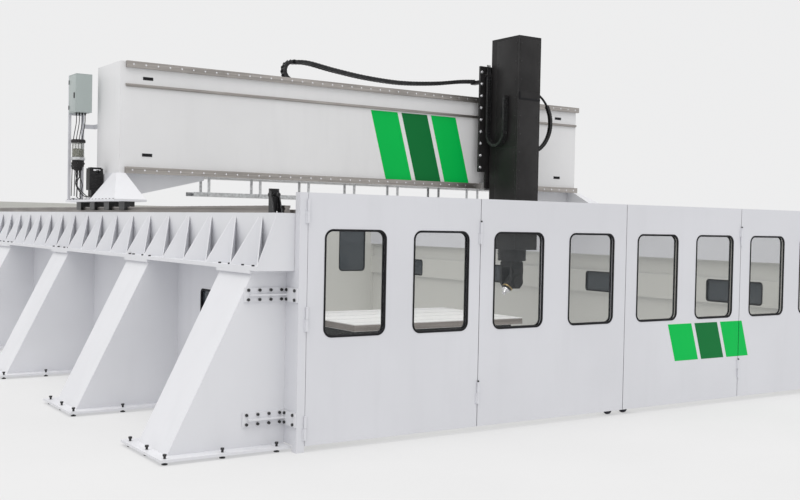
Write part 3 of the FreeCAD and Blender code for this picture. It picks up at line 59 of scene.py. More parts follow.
# ------------------------------------------------------------------ materials
class Graph:
    """A material's nodes, with short calls for the kinds that the looks need."""

    def __init__(self, name):
        self.material = bpy.data.materials.new(name)
        self.material.use_nodes = True
        self.tree = self.material.node_tree
        self.tree.nodes.clear()
        self.shader = self.add("ShaderNodeBsdfPrincipled")
        output = self.add("ShaderNodeOutputMaterial")
        self.link(self.shader.outputs[0], output.inputs["Surface"])
        self.place = self.add("ShaderNodeTexCoord")

    def add(self, kind, **settings):
        node = self.tree.nodes.new(kind)
        for key, value in settings.items():
            setattr(node, key, value)
        return node

    def link(self, start, end):
        self.tree.links.new(start, end)

    def stretched(self, stretch):
        mapping = self.add("ShaderNodeMapping")
        mapping.inputs["Scale"].default_value = stretch
        self.link(self.place.outputs["Object"], mapping.inputs["Vector"])
        return mapping.outputs[0]

    def noise(self, scale, detail=3.0, stretch=(1, 1, 1)):
        texture = self.add("ShaderNodeTexNoise")
        texture.inputs["Scale"].default_value = scale
        texture.inputs["Detail"].default_value = detail
        self.link(self.stretched(stretch), texture.inputs["Vector"])
        return texture.outputs["Fac"]

    def math(self, operation, first, second=0.0, clamp=False):
        node = self.add("ShaderNodeMath", operation=operation, use_clamp=clamp)
        for socket, value in zip(node.inputs, (first, second)):
            if isinstance(value, (int, float)):
                socket.default_value = value
            else:
                self.link(value, socket)
        return node.outputs[0]

    def spread(self, value, low, high, start=0.35, end=0.65):
        node = self.add("ShaderNodeMapRange")
        for key, number in (("From Min", start), ("From Max", end), ("To Min", low), ("To Max", high)):
            node.inputs[key].default_value = number
        self.link(value, node.inputs["Value"])
        return node.outputs[0]

    def mix(self, factor, first, second):
        node = self.add("ShaderNodeMix", data_type="RGBA")
        self.link(factor, node.inputs["Factor"])
        for socket, value in zip([s for s in node.inputs if s.type == "RGBA"], (first, second)):
            if isinstance(value, tuple):
                socket.default_value = (*value, 1.0)
            else:
                self.link(value, socket)
        return next(s for s in node.outputs if s.type == "RGBA")

    def edges(self, width):
        """One where the surface turns within that width: corners, where the looks put wear and, on the dark
        metals, a painted highlight.
        """
        bevel = self.add("ShaderNodeBevel", samples=4)
        bevel.inputs["Radius"].default_value = width
        normal = self.add("ShaderNodeNewGeometry")
        dot = self.add("ShaderNodeVectorMath", operation="DOT_PRODUCT")
        self.link(bevel.outputs[0], dot.inputs[0])
        self.link(normal.outputs["Normal"], dot.inputs[1])
        return self.spread(dot.outputs["Value"], 1.0, 0.0, 0.80, 0.995)

    def bump(self, height, strength, distance=0.002):
        node = self.add("ShaderNodeBump")
        node.inputs["Strength"].default_value = strength
        node.inputs["Distance"].default_value = distance
        self.link(height, node.inputs["Height"])
        self.link(node.outputs[0], self.shader.inputs["Normal"])


def finish_material(graph, colour, rough, metallic=0.0, specular=0.5, bump=0.05, grain=180.0,
                    stretch=(1, 1, 1)):
    """Connects the colour, and gives roughness and bump their grain."""
    fine = graph.noise(grain, 4.0, stretch)
    broad = graph.noise(2.3, 3.0)
    uneven = graph.math("ADD", graph.math("MULTIPLY", fine, 0.5), graph.math("MULTIPLY", broad, 0.5))
    graph.link(graph.spread(uneven, rough * 0.78, rough * 1.22), graph.shader.inputs["Roughness"])
    graph.link(colour, graph.shader.inputs["Base Color"])
    graph.shader.inputs["Metallic"].default_value = metallic
    graph.shader.inputs["Specular IOR Level"].default_value = specular
    graph.bump(fine, bump)
    return graph.material


def shade(colour, factor):
    return tuple(min(1.0, part * factor) for part in colour)


def painted(name, colour, rough=0.42, inner=None, wear=(0.42, 0.42, 0.42), specular=0.4):
    """Powder coat: slight clouding, faint dust low down, rubbed edges, and, where asked, the inner side
    drawn darker and beige as painted shade inside the enclosure.
    """
    graph = Graph(name)
    clouds = graph.mix(graph.spread(graph.noise(0.9, 4.0), 0, 1), shade(colour, 0.972), shade(colour, 1.012))
    streaks = graph.noise(6.0, 5.0, (1.0, 1.0, 0.12))
    tone = graph.mix(graph.spread(streaks, 0, 0.35, 0.52, 0.75), clouds, shade(colour, 0.93))
    # Painted shade: faces that look in towards the middle of the machine get the darker beige, standing in
    # for the shade inside the enclosure.
    if inner:
        dot = graph.add("ShaderNodeVectorMath", operation="DOT_PRODUCT")
        flat = graph.add("ShaderNodeVectorMath", operation="MULTIPLY")
        flat.inputs[1].default_value = (1, 1, 0)
        graph.link(graph.place.outputs["Object"], flat.inputs[0])
        graph.link(flat.outputs[0], dot.inputs[0])
        graph.link(graph.place.outputs["Normal"], dot.inputs[1])
        towards = graph.math("LESS_THAN", dot.outputs["Value"], -0.5)
        tone = graph.mix(towards, tone, inner)
    patches = graph.spread(graph.noise(14.0, 6.0), 0, 0.7, 0.5, 0.62)
    chipped = graph.math("MULTIPLY", graph.edges(0.004), patches)
    tone = graph.mix(chipped, tone, wear)
    return finish_material(graph, tone, rough, specular=specular, bump=0.04, grain=260.0)


def dark_metal(name, colour, rough=0.48, edge=(0.16, 0.16, 0.165), specular=0.28, metallic=0.0):
    """Fine textured black: slightly brown or blue in patches, with lighter edges on nearly every corner,
    partly rubbed wear and partly a painted highlight.
    """
    graph = Graph(name)
    tone = graph.mix(graph.spread(graph.noise(3.0, 5.0), 0, 1), shade(colour, 0.8), shade(colour, 1.25))
    patches = graph.spread(graph.noise(22.0, 5.0), 0.15, 0.9, 0.4, 0.6)
    # Painted highlight with some wear: the patches leave almost no edge out, so every corner of the dark
    # metal is lightened at least a little.
    edge_wear_and_highlight = graph.math("MULTIPLY", graph.edges(0.005), patches)
    tone = graph.mix(edge_wear_and_highlight, tone, edge)
    return finish_material(graph, tone, rough, metallic, specular, 0.12, 420.0)


def steel(name, colour, rough=0.34, stretch=(1, 1, 1), grain=60.0, bump=0.05, metallic=0.9):
    """Ground or plated metal: streaks along its length, and slightly darker grime in patches."""
    graph = Graph(name)
    lines = graph.spread(graph.noise(grain, 5.0, stretch), 0, 1)
    streaks = graph.mix(lines, shade(colour, 0.78), shade(colour, 1.15))
    grime = graph.spread(graph.noise(1.7, 5.0), 0.0, 0.5, 0.5, 0.7)
    tone = graph.mix(grime, streaks, shade(colour, 0.62))
    return finish_material(graph, tone, rough, metallic, 0.5, bump, grain * 2, stretch)


def plastic(name, colour, rough=0.55, bump=0.1, grain=500.0, specular=0.35):
    graph = Graph(name)
    tone = graph.mix(graph.spread(graph.noise(9.0, 4.0), 0, 1), shade(colour, 0.85), shade(colour, 1.15))
    return finish_material(graph, tone, rough, 0.0, specular, bump, grain)


def clear(name, colour, alpha, rough=0.06):
    """Clear sheet: faint smears in its gloss; the rest shows what is behind it."""
    graph = Graph(name)
    tone = graph.mix(graph.spread(graph.noise(2.0, 4.0), 0, 1), shade(colour, 0.9), colour)
    graph.shader.inputs["Alpha"].default_value = alpha
    return finish_material(graph, tone, rough, 0.0, 0.5, 0.01, 40.0)


def bed_material():
    """White bed: grid of vacuum grooves ten to the metre, drawn as darker grey lines that paint the shade in
    them, with cutter scuffs and dust.
    """
    graph = Graph("bed_face")
    axes = graph.add("ShaderNodeSeparateXYZ")
    graph.link(graph.place.outputs["Object"], axes.inputs[0])
    lines = []
    for axis in ("X", "Y"):
        cells = graph.math("MULTIPLY", axes.outputs[axis], 10.0)
        cell = graph.math("FRACT", graph.math("ADD", cells, 100.0))
        lines.append(graph.math("LESS_THAN", cell, 0.07))
    # Painted shade: the grooves have no depth, so the shade in them is painted as darker grey lines.
    groove_shade = graph.math("MAXIMUM", *lines)
    dust = graph.mix(graph.spread(graph.noise(3.0, 6.0), 0, 1), (0.80, 0.80, 0.79), (0.86, 0.86, 0.86))
    scuffs = graph.spread(graph.noise(30.0, 6.0, (1, 0.1, 1)), 0, 0.5, 0.55, 0.8)
    scuffed = graph.mix(scuffs, dust, (0.70, 0.69, 0.67))
    tone = graph.mix(groove_shade, scuffed, (0.52, 0.52, 0.51))
    return finish_material(graph, tone, 0.5, 0.0, 0.4, 0.05, 200.0)


DOOR_FACE, DOOR_THICK, PIN_LINE = -6.230, 0.050, -6.244
LENGTHWISE_X, LENGTHWISE_Y, LENGTHWISE_Z = (0.02, 1, 1), (1, 0.02, 1), (1, 1, 0.02)
# The second colour here is painted shade for the inner sides of the walls and doors.
WHITE, INNER_SHADE_BEIGE = (0.675, 0.68, 0.715), (0.60, 0.60, 0.565)
BLACK = (0.017, 0.016, 0.0165)
LOOKS = {
    "white_paint": painted("white_paint", WHITE),
    # The gantry's white is the walls' paint made lighter and less blue: painted light, for the light from
    # above that falls more on the high gantry.
    "gantry_paint_with_painted_light": painted("gantry_paint_with_painted_light", (0.775, 0.775, 0.785)),
    "wall_paint": painted("wall_paint", WHITE, inner=INNER_SHADE_BEIGE),
    "leg_paint": painted("leg_paint", (0.71, 0.715, 0.745)),
    "black_metal": dark_metal("black_metal", BLACK),
    # The end stops' edges are lightened nearly to white: a painted highlight along them.
    "stop_black": dark_metal("stop_black", (0.012, 0.012, 0.013), 0.4, (0.45, 0.45, 0.46)),
    "table_black": dark_metal("table_black", (0.02, 0.019, 0.018), 0.55),
    "rail_x": steel("rail_x", (0.40, 0.375, 0.355), 0.38, LENGTHWISE_X),
    "rail_y": steel("rail_y", (0.27, 0.25, 0.235), 0.40, LENGTHWISE_Y),
    "rail_z": steel("rail_z", (0.72, 0.72, 0.73), 0.25, LENGTHWISE_Z),
    "bright_steel": steel("bright_steel", (0.82, 0.82, 0.84), 0.16, bump=0.01),
    "zinc": steel("zinc", (0.62, 0.63, 0.64), 0.36, grain=25.0),
    "black_oxide": dark_metal("black_oxide", (0.02, 0.02, 0.021), 0.38, (0.10, 0.10, 0.10), 0.4),
    "gasket": plastic("gasket", (0.008, 0.008, 0.010), 0.62, 0.15, 300.0, 0.25),
    "castor_tyre": plastic("castor_tyre", (0.02, 0.02, 0.03), 0.6, 0.2, 220.0),
    "glazing": clear("glazing", (0.20, 0.22, 0.23), 0.07),
    "tinted_glazing": clear("tinted_glazing", (0.055, 0.065, 0.075), 0.93, 0.12),
    "bed_face": bed_material(),
    "edge_band": steel("edge_band", (0.30, 0.27, 0.25), 0.5, LENGTHWISE_X, metallic=0.5),
    "grey_case": painted("grey_case", (0.40, 0.45, 0.44), 0.36),
    "chain_plastic": dark_metal("chain_plastic", (0.014, 0.014, 0.015), 0.42, (0.13, 0.13, 0.135), 0.4),
    "hose_black": plastic("hose_black", (0.012, 0.012, 0.013), 0.42, 0.05, 150.0),
    "cable_grey": plastic("cable_grey", (0.22, 0.22, 0.23), 0.5, 0.05, 150.0),
    "green": painted("green", (0.0, 0.50, 0.080), 0.45, wear=(0.03, 0.5, 0.15), specular=0.12),
    "dark_green": painted("dark_green", (0.004, 0.165, 0.038), 0.45, wear=(0.03, 0.25, 0.08), specular=0.12),
    "green_wire": plastic("green_wire", (0.005, 0.22, 0.09), 0.4),
    "reservoir": clear("reservoir", (0.60, 0.62, 0.58), 0.16, 0.12),
    "oil": plastic("oil", (0.045, 0.040, 0.008), 0.2, 0.0, 60.0, 0.6),
    "brass": steel("brass", (0.55, 0.40, 0.18), 0.3, grain=30.0),
}
NODE_LOOKS = {
    "leg_paint": ("left_legs", "right_legs", "gantry_feet", "post_brackets", "left_rail_beam",
                  "right_rail_beam"),
    "white_paint": ("door_posts", "post_hinges", "service_frame"),
    "gantry_paint_with_painted_light": ("gantry_beam",),
    "wall_paint": ("side_walls", "rear_wall"),
    "black_metal": ("carriage_plate", "ram_column", "rotary_stage", "head_fork", "spindle_body",
                    "drive_motors"),
    "stop_black": ("end_stops", "shock_absorbers"),
    "table_black": ("table_frame",),
    "rail_x": ("gantry_rails", "gantry_rack"),
    "rail_y": ("guide_rails", "drive_racks"),
    "rail_z": ("ram_rails",),
    "zinc": ("carriage_bearings", "cable_trays", "castor_fork_1", "castor_fork_2"),
    "black_oxide": ("levelling_jacks", "frame_bolts", "foot_bearings"),
    "gasket": ("wall_window_seals",),
    "tinted_glazing": ("wall_glass",),
    "castor_tyre": ("castor_wheel_1", "castor_wheel_2"),
    "bed_face": ("table_top",),
    "grey_case": ("junction_box",),
    "chain_plastic": ("gantry_chain", "ram_chain", "ram_hose_loop"),
    "bright_steel": ("tool_holder",),
    "reservoir": ("lube_unit",),
}
DOOR_LOOKS = {"panel": "wall_paint", "hinges": "white_paint", "seals": "gasket", "glass": "glazing"}


def dress_nodes():
    """Gives every CAD node its finished material."""
    looks = {node: look for look, nodes in NODE_LOOKS.items() for node in nodes}
    for number in range(1, 5):
        looks.update({f"door_{number}_{part}": look for part, look in DOOR_LOOKS.items()})
    for name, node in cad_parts.items():
        node.data.materials.clear()
        node.data.materials.append(LOOKS[looks[name]])


dress_nodes()


# ------------------------------------------------------------------ mesh tools
class Shell:
    """Faces of one piece, gathered from simple formed parts."""

    def __init__(self):
        self.bm = bmesh.new()

    def box(self, low, high, bevel=0.002, turn=None):
        """A block with rolled edges, turned about its own middle if asked."""
        low, high = Vector(low), Vector(high)
        made = bmesh.ops.create_cube(self.bm, size=1.0)["verts"]
        size, middle = high - low, (high + low) / 2
        for vert in made:
            corner = Vector(part * length for part, length in zip(vert.co, size))
            vert.co = middle + (turn @ corner if turn else corner)
        if bevel:
            edges = list({edge for vert in made for edge in vert.link_edges})
            width = min(bevel, min(size) * 0.3)
            bmesh.ops.bevel(self.bm, geom=edges, offset=width, segments=2, affect="EDGES", profile=0.5)

    def lathe(self, base, along, profile, segments=32):
        """A turned form: each place of the profile is (radius, distance along the axis)."""
        base, along = Vector(base), Vector(along).normalized()
        side = along.orthogonal().normalized()
        up = along.cross(side)
        rings = []
        for radius, distance in profile:
            centre = base + along * distance
            if radius < 1e-6:
                rings.append([self.bm.verts.new(centre)])
                continue
            angles = [2 * math.pi * k / segments for k in range(segments)]
            rings.append([self.bm.verts.new(centre + (side * math.cos(a) + up * math.sin(a)) * radius)
                          for a in angles])
        for lower, upper in zip(rings, rings[1:]):
            for k in range(segments):
                corners = [lower[k % len(lower)], lower[(k + 1) % len(lower)],
                           upper[(k + 1) % len(upper)], upper[k % len(upper)]]
                corners = list(dict.fromkeys(corners))
                if len(corners) > 2:
                    self.bm.faces.new(corners)

    def bolt(self, point, outward, radius, tall, sides=12):
        """Cap screw head with its chamfer and socket."""
        profile = ((radius, 0), (radius, tall * 0.8), (radius * 0.86, tall), (radius * 0.5, tall),
                   (radius * 0.42, tall * 0.5), (0, tall * 0.5))
        self.lathe(point, outward, profile, sides)

    def prism(self, outline, thickness):
        """A flat outline, given by points in space, thickened along a vector."""
        lower = [self.bm.verts.new(Vector(p)) for p in outline]
        upper = [self.bm.verts.new(Vector(p) + Vector(thickness)) for p in outline]
        self.bm.faces.new(lower)
        self.bm.faces.new(upper)
        for k in range(len(lower)):
            after = (k + 1) % len(lower)
            self.bm.faces.new((lower[k], lower[after], upper[after], upper[k]))

    def tube(self, points, radius, sides=12):
        """A round tube along points, its ends closed."""
        points = [Vector(p) for p in points]
        ahead = [(b - a).normalized() for a, b in zip(points, points[1:])]
        ahead = [ahead[0]] + [(a + b).normalized() for a, b in zip(ahead, ahead[1:])] + [ahead[-1]]
        side = ahead[0].orthogonal().normalized()
        rings = []
        for point, forward in zip(points, ahead):
            side = (side - forward * side.dot(forward)).normalized()
            up = forward.cross(side)
            angles = [2 * math.pi * k / sides for k in range(sides)]
            rings.append([self.bm.verts.new(point + (side * math.cos(a) + up * math.sin(a)) * radius)
                          for a in angles])
        for lower, upper in zip(rings, rings[1:]):
            for k in range(sides):
                after = (k + 1) % sides
                self.bm.faces.new((lower[k], lower[after], upper[after], upper[k]))
        self.bm.faces.new(rings[0])
        self.bm.faces.new(rings[-1])

    def piece(self, name, body, slot, look):
        """Makes the object, smooth except at its corners, and fixes it to its body."""
        bmesh.ops.recalc_face_normals(self.bm, faces=self.bm.faces)
        mesh = bpy.data.meshes.new(name)
        self.bm.to_mesh(mesh)
        self.bm.free()
        mesh.materials.append(LOOKS[look])
        mesh.polygons.foreach_set("use_smooth", [True] * len(mesh.polygons))
        mesh.set_sharp_from_angle(angle=math.radians(32))
        made = bpy.data.objects.new(name, mesh)
        bpy.context.scene.collection.objects.link(made)
        if body:
            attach(made, body)
        return made


def smooth_path(points, steps=8):
    """A smooth line through chosen points, as Catmull-Rom spans."""
    points = [Vector(p) for p in points]
    padded = [points[0] * 2 - points[1]] + points + [points[-1] * 2 - points[-2]]
    line = []
    for a, b, c, d in zip(padded, padded[1:], padded[2:], padded[3:]):
        for k in range(steps):
            t = k / steps
            line.append(((b * 2) + (c - a) * t + (a * 2 - b * 5 + c * 4 - d) * t ** 2
                         + (b * 3 - a - c * 3 + d) * t ** 3) / 2)
    return line + [points[-1]]


def steps_along(line, pitch):
    """Places at an even pitch along a line of points, each with its direction."""
    places, left = [], 0.0
    for a, b in zip(line, line[1:]):
        length = (b - a).length
        if length < 1e-9:
            continue
        forward = (b - a) / length
        while left < length:
            places.append((a + forward * left, forward))
            left += pitch
        left -= length
    return places


def chain_links(shell, line, across, width, thick, pitch):
    """Energy chain: two rows of side plates with raised laps, bridged by bars above and below."""
    across = Vector(across).normalized()
    for point, forward in steps_along(line, pitch):
        up = across.cross(forward).normalized()
        turn = Matrix((forward, across, up)).transposed()
        for side in (-1, 1):
            for shift, part in ((0.0, 0.0055), (pitch * 0.5, 0.0085)):
                middle = point + forward * shift + across * (side * (width / 2 - part / 2))
                half = Vector((pitch * 0.30, part / 2, thick / 2 * (1.0 if shift else 0.74)))
                shell.box(middle - half, middle + half, 0.0015, turn)
        for side in (-1, 1):
            middle = point + up * (side * (thick / 2 - 0.004))
            half = Vector((pitch * 0.17, width / 2 - 0.006, 0.003))
            shell.box(middle - half, middle + half, 0, turn)


def row(start, end, count):
    """Evenly spaced numbers, both ends included."""
    return [start + (end - start) * k / (count - 1) for k in range(count)]


# ------------------------------------------------------------------ camera, floor and light
def look_along(yaw, pitch, roll):
    """Camera axes from a heading right of +Y, a tilt and a roll, in degrees."""
    yaw, pitch, roll = (math.radians(angle) for angle in (yaw, pitch, roll))
    forward = Vector((math.sin(yaw) * math.cos(pitch), math.cos(yaw) * math.cos(pitch), math.sin(pitch)))
    right = Vector((math.cos(yaw), -math.sin(yaw), 0))
    up = right.cross(forward)
    right, up = right * math.cos(roll) + up * math.sin(roll), up * math.cos(roll) - right * math.sin(roll)
    return Matrix((right, up, -forward)).transposed()


CAMERA_PLACE = (-9.266, -15.186, 2.238)
CAMERA_YAW, CAMERA_PITCH, CAMERA_ROLL = 34.02, -1.392, 1.13
LENS, SENSOR = 47.43, 36.0
CEILING_POWER = 1.45
CEILING_SPREAD = 60
CEILING_FROM = (-0.22, -0.22, 0.95)
CEILING_TONE = (1.0, 0.985, 0.955)
STUDIO_TONE = (0.852, 0.852, 0.855)
FLOOR_HALF = 90


def studio():
    """Camera, even pale surroundings and one broad soft light from above."""
    scene = bpy.context.scene
    camera = bpy.data.objects.new("camera", bpy.data.cameras.new("camera"))
    camera.data.lens, camera.data.sensor_width = LENS, SENSOR
    camera.data.clip_end = 200.0
    axes = look_along(CAMERA_YAW, CAMERA_PITCH, CAMERA_ROLL)
    camera.matrix_world = Matrix.Translation(CAMERA_PLACE) @ axes.to_4x4()
    scene.collection.objects.link(camera)
    scene.camera = camera
    scene.view_settings.view_transform = "Standard"
    world = bpy.data.worlds.new("studio")
    world.use_nodes = True
    world.node_tree.nodes["Background"].inputs["Color"].default_value = (*STUDIO_TONE, 1)
    scene.world = world
    ceiling = bpy.data.lights.new("ceiling", "SUN")
    ceiling.energy = CEILING_POWER
    ceiling.angle = math.radians(CEILING_SPREAD)
    ceiling.color = CEILING_TONE
    lamp = bpy.data.objects.new("ceiling", ceiling)
    lamp.rotation_euler = Vector(CEILING_FROM).to_track_quat("Z", "Y").to_euler()
    scene.collection.objects.link(lamp)


def floor():
    """Pale floor, plain near the machine and as bright as the studio far from it."""
    shell = Shell()
    corners = [(x * FLOOR_HALF, y * FLOOR_HALF, 0) for x, y in ((-1, -1), (1, -1), (1, 1), (-1, 1))]
    shell.bm.faces.new([shell.bm.verts.new(corner) for corner in corners])
    graph = Graph("floor")
    length = graph.add("ShaderNodeVectorMath", operation="LENGTH")
    graph.link(graph.place.outputs["Object"], length.inputs[0])
    far = graph.spread(length.outputs["Value"], 0.5, 1.0, 9.0, 20.0)
    clouds = graph.mix(graph.spread(graph.noise(0.4), 0, 1), (0.66, 0.66, 0.663), (0.69, 0.69, 0.693))
    graph.link(clouds, graph.shader.inputs["Base Color"])
    graph.shader.inputs["Roughness"].default_value = 0.9
    graph.shader.inputs["Specular IOR Level"].default_value = 0.1
    glow = graph.add("ShaderNodeEmission")
    glow.inputs["Color"].default_value = (*STUDIO_TONE, 1)
    blend = graph.add("ShaderNodeMixShader")
    graph.link(far, blend.inputs[0])
    graph.link(graph.shader.outputs[0], blend.inputs[1])
    graph.link(glow.outputs[0], blend.inputs[2])
    output = next(n for n in graph.tree.nodes if n.type == "OUTPUT_MATERIAL")
    graph.link(blend.outputs[0], output.inputs["Surface"])
    mesh = bpy.data.meshes.new("floor")
    shell.bm.to_mesh(mesh)
    mesh.materials.append(graph.material)
    made = bpy.data.objects.new("floor", mesh)
    bpy.context.scene.collection.objects.link(made)


studio()
floor()

# ------------------------------------------------------------------ gantry
beam_low = span("gantry_beam")[0]
rack_low, rack_high = span("gantry_rack")
rails_low, rails_high = span("gantry_rails")
FRONT = beam_low.y
RAIL_FRONT = rails_low.y
RAIL_FACE = 0.090
DECAL = 0.0012


def slanted(shell, left, right, low, high, lean, face):
    """A slanted stripe on a face that looks towards the doors."""
    outline = ((left + lean, face, low), (right + lean, face, low), (right, face, high), (left, face, high))
    shell.prism(outline, (0, -DECAL, 0))


def gantry_stripes():
    """Three slanted stripes between the lower rail and the rack."""
    low, high, lean, width, pitch = beam_low.z + RAIL_FACE, rack_low.z - 0.02, 0.31, 0.515, 0.594
    for number, look in enumerate(("green", "dark_green", "green")):
        shell = Shell()
        left = -0.175 + pitch * number
        slanted(shell, left, left + width, low, high, lean, FRONT)
        shell.piece(f"gantry_stripe_{number + 1}", "gantry", "white_paint", look)


def door_stripes():
    """Three slanted stripes over two leaves. The last one is cut where the leaves meet."""
    face, low, high, lean, width, pitch = DOOR_FACE, 0.597, 1.061, 0.145, 0.431, 0.491
    seam_left, seam_right = span("door_3_panel")[1].x, span("door_4_panel")[0].x
    for number, look in enumerate(("green", "dark_green")):
        shell = Shell()
        left = 0.812 + pitch * number
        slanted(shell, left, left + width, low, high, lean, face)
        shell.piece(f"door_stripe_{number + 1}", "door_3", "white_paint", look)
    left = 0.812 + pitch * 2
    right = left + width
    near, far = Shell(), Shell()
    near.prism(((left + lean, face, low), (seam_left, face, low), (seam_left, face, high),
                (left, face, high)), (0, -DECAL, 0))
    near.piece("door_stripe_3_left", "door_3", "white_paint", "green")
    far.prism(((seam_right, face, low), (right + lean, face, low), (right, face, high),
               (seam_right, face, high)), (0, -DECAL, 0))
    far.piece("door_stripe_3_right", "door_4", "white_paint", "green")


def lifting_slot_shade():
    """Near-black patches standing just proud of the gantry's front, two near each end, with a lip round
    each: painted shade in place of the lifting slots' hollows.
    """
    shell = Shell()
    for x in (-3.90, 3.86):
        for z in (4.22, 3.145):
            shell.box((x - 0.075, FRONT - 0.004, z - 0.022), (x + 0.075, FRONT + 0.001, z + 0.022), 0.0019)
    # Painted shade: dark rubber boxes stand for the shaded inside of the slots.
    shell.piece("lifting_slot_shade", "gantry", "black_metal", "gasket")


def rail_screws():
    """Counterbored screws along the gantry's two rails and the guide rails."""
    shell = Shell()
    for z, count in ((beam_low.z + RAIL_FACE / 2, 48), (rails_high.z - RAIL_FACE / 2, 48)):
        for x in row(rails_low.x + 0.1, rails_high.x - 0.1, count):
            shell.bolt((x, RAIL_FRONT, z), (0, -1, 0), 0.013, 0.003)
    shell.piece("gantry_rail_screws", "gantry", "bright_steel", "bright_steel")
    low, high = span("guide_rails")
    shell = Shell()
    for x in (-4.455, 4.455):
        for y in row(low.y + 0.08, high.y - 0.08, 60):
            shell.bolt((x, y, high.z), (0, 0, 1), 0.014, 0.0025)
    shell.piece("guide_rail_screws", "frame", "bright_steel", "bright_steel")


def toothed(shell, low, high, axis, teeth_towards, pitch=0.0157, depth=0.009):
    """Rack bar with straight teeth on one side, as columns of trapezoids along its length."""
    axis_index = "xyz".index(axis)
    side_index = next(k for k in range(3) if abs(teeth_towards[k]) > 0.5)
    rise = 3 - axis_index - side_index
    crest = high[side_index] if teeth_towards[side_index] > 0 else low[side_index]
    back = low[side_index] if teeth_towards[side_index] > 0 else high[side_index]
    root = crest - teeth_towards[side_index] * depth
    columns = []
    count = int((high[axis_index] - low[axis_index]) / pitch)
    for number in range(count):
        start = low[axis_index] + pitch * number
        for share, level in ((0.0, root), (0.22, root), (0.40, crest), (0.82, crest)):
            columns.append((start + pitch * share, level))
    columns.append((high[axis_index], root))

    def vert(along, side, level):
        place = [0.0, 0.0, 0.0]
        place[axis_index], place[side_index], place[rise] = along, side, level
        return shell.bm.verts.new(place)

    rows = [(vert(along, side, low[rise]), vert(along, side, high[rise]), vert(along, back, high[rise]),
             vert(along, back, low[rise])) for along, side in columns]
    for first, second in zip(rows, rows[1:]):
        for k in range(4):
            after = (k + 1) % 4
            shell.bm.faces.new((first[k], first[after], second[after], second[k]))
    shell.bm.faces.new(rows[0])
    shell.bm.faces.new(rows[-1])


def racks():
    """Toothed bars in place of the plain ones, on the gantry's front and inside the guide rails."""
    shell = Shell()
    toothed(shell, rack_low, rack_high, "x", (0, 0, -1))
    made = shell.piece("gantry_rack_teeth", "gantry", "rail_steel", "rail_x")
    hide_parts("gantry_rack")
    low, high = span("drive_racks")
    shell = Shell()
    toothed(shell, low, (low.x + 0.030, high.y, high.z), "y", (-1, 0, 0))
    toothed(shell, (high.x - 0.030, low.y, low.z), high, "y", (1, 0, 0))
    made = shell.piece("drive_rack_teeth", "frame", "rail_steel", "rail_y")
    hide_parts("drive_racks")


gantry_stripes()
door_stripes()
lifting_slot_shade()
rail_screws()
racks()


# ------------------------------------------------------------------ energy chains
chain_low, chain_high = span("gantry_chain")
CHAIN_Y = (chain_low.y + chain_high.y) / 2
CHAIN_WIDTH = chain_high.y - chain_low.y
CHAIN_THICK = 0.060
LOWER_Z = chain_low.z + CHAIN_THICK / 2
UPPER_Z = chain_high.z - CHAIN_THICK / 2
BEND_RADIUS = (UPPER_Z - LOWER_Z) / 2
BEND_X = chain_low.x + BEND_RADIUS + CHAIN_THICK / 2
LOWER_END, UPPER_END = -0.20, chain_high.x
LINK = 0.062


def arc(centre, radius, start, end, first, second, count=24):
    """Points on an arc from one angle to another, in degrees, between two unit directions."""
    centre, first, second = Vector(centre), Vector(first), Vector(second)
    angles = [math.radians(angle) for angle in row(start, end, count)]
    return [centre + first * (radius * math.cos(a)) + second * (radius * math.sin(a)) for a in angles]


def horizontal_chain():
    """Lower run in the trough, half-round bend, and the run that sags on its way to the carriage."""
    runs = {
        "lower": [Vector((LOWER_END, CHAIN_Y, LOWER_Z)), Vector((BEND_X, CHAIN_Y, LOWER_Z))],
        "bend": arc((BEND_X, CHAIN_Y, LOWER_Z + BEND_RADIUS), BEND_RADIUS, -90, -270, (1, 0, 0), (0, 0, 1)),
        "upper": smooth_path([(BEND_X, CHAIN_Y, UPPER_Z), (BEND_X + 0.28, CHAIN_Y, UPPER_Z + 0.010),
                              (-0.62, CHAIN_Y, UPPER_Z - 0.055), (0.0, CHAIN_Y, UPPER_Z - 0.120),
                              (0.70, CHAIN_Y, UPPER_Z - 0.142), (1.40, CHAIN_Y, UPPER_Z - 0.090),
                              (1.95, CHAIN_Y, UPPER_Z - 0.010), (UPPER_END, CHAIN_Y, UPPER_Z + 0.020)], 10),
    }
    for name, line in runs.items():
        shell = Shell()
        chain_links(shell, line, (0, 1, 0), CHAIN_WIDTH, CHAIN_THICK, LINK)
        made = shell.piece(f"gantry_chain_{name}", None, "chain_plastic", "chain_plastic")
        if name == "bend":
            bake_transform(made)
        else:
            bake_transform(made)
        if name == "lower":
            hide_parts("gantry_chain")
        shell = Shell()
        for offset in (-0.030, -0.004, 0.026):
            shell.tube([p + Vector((0, offset, 0)) for p in line], 0.011, 8)
        cables = shell.piece(f"gantry_chain_cables_{name}", None, "chain_plastic", "hose_black")
        if name == "bend":
            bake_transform(cables)
        else:
            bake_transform(cables)


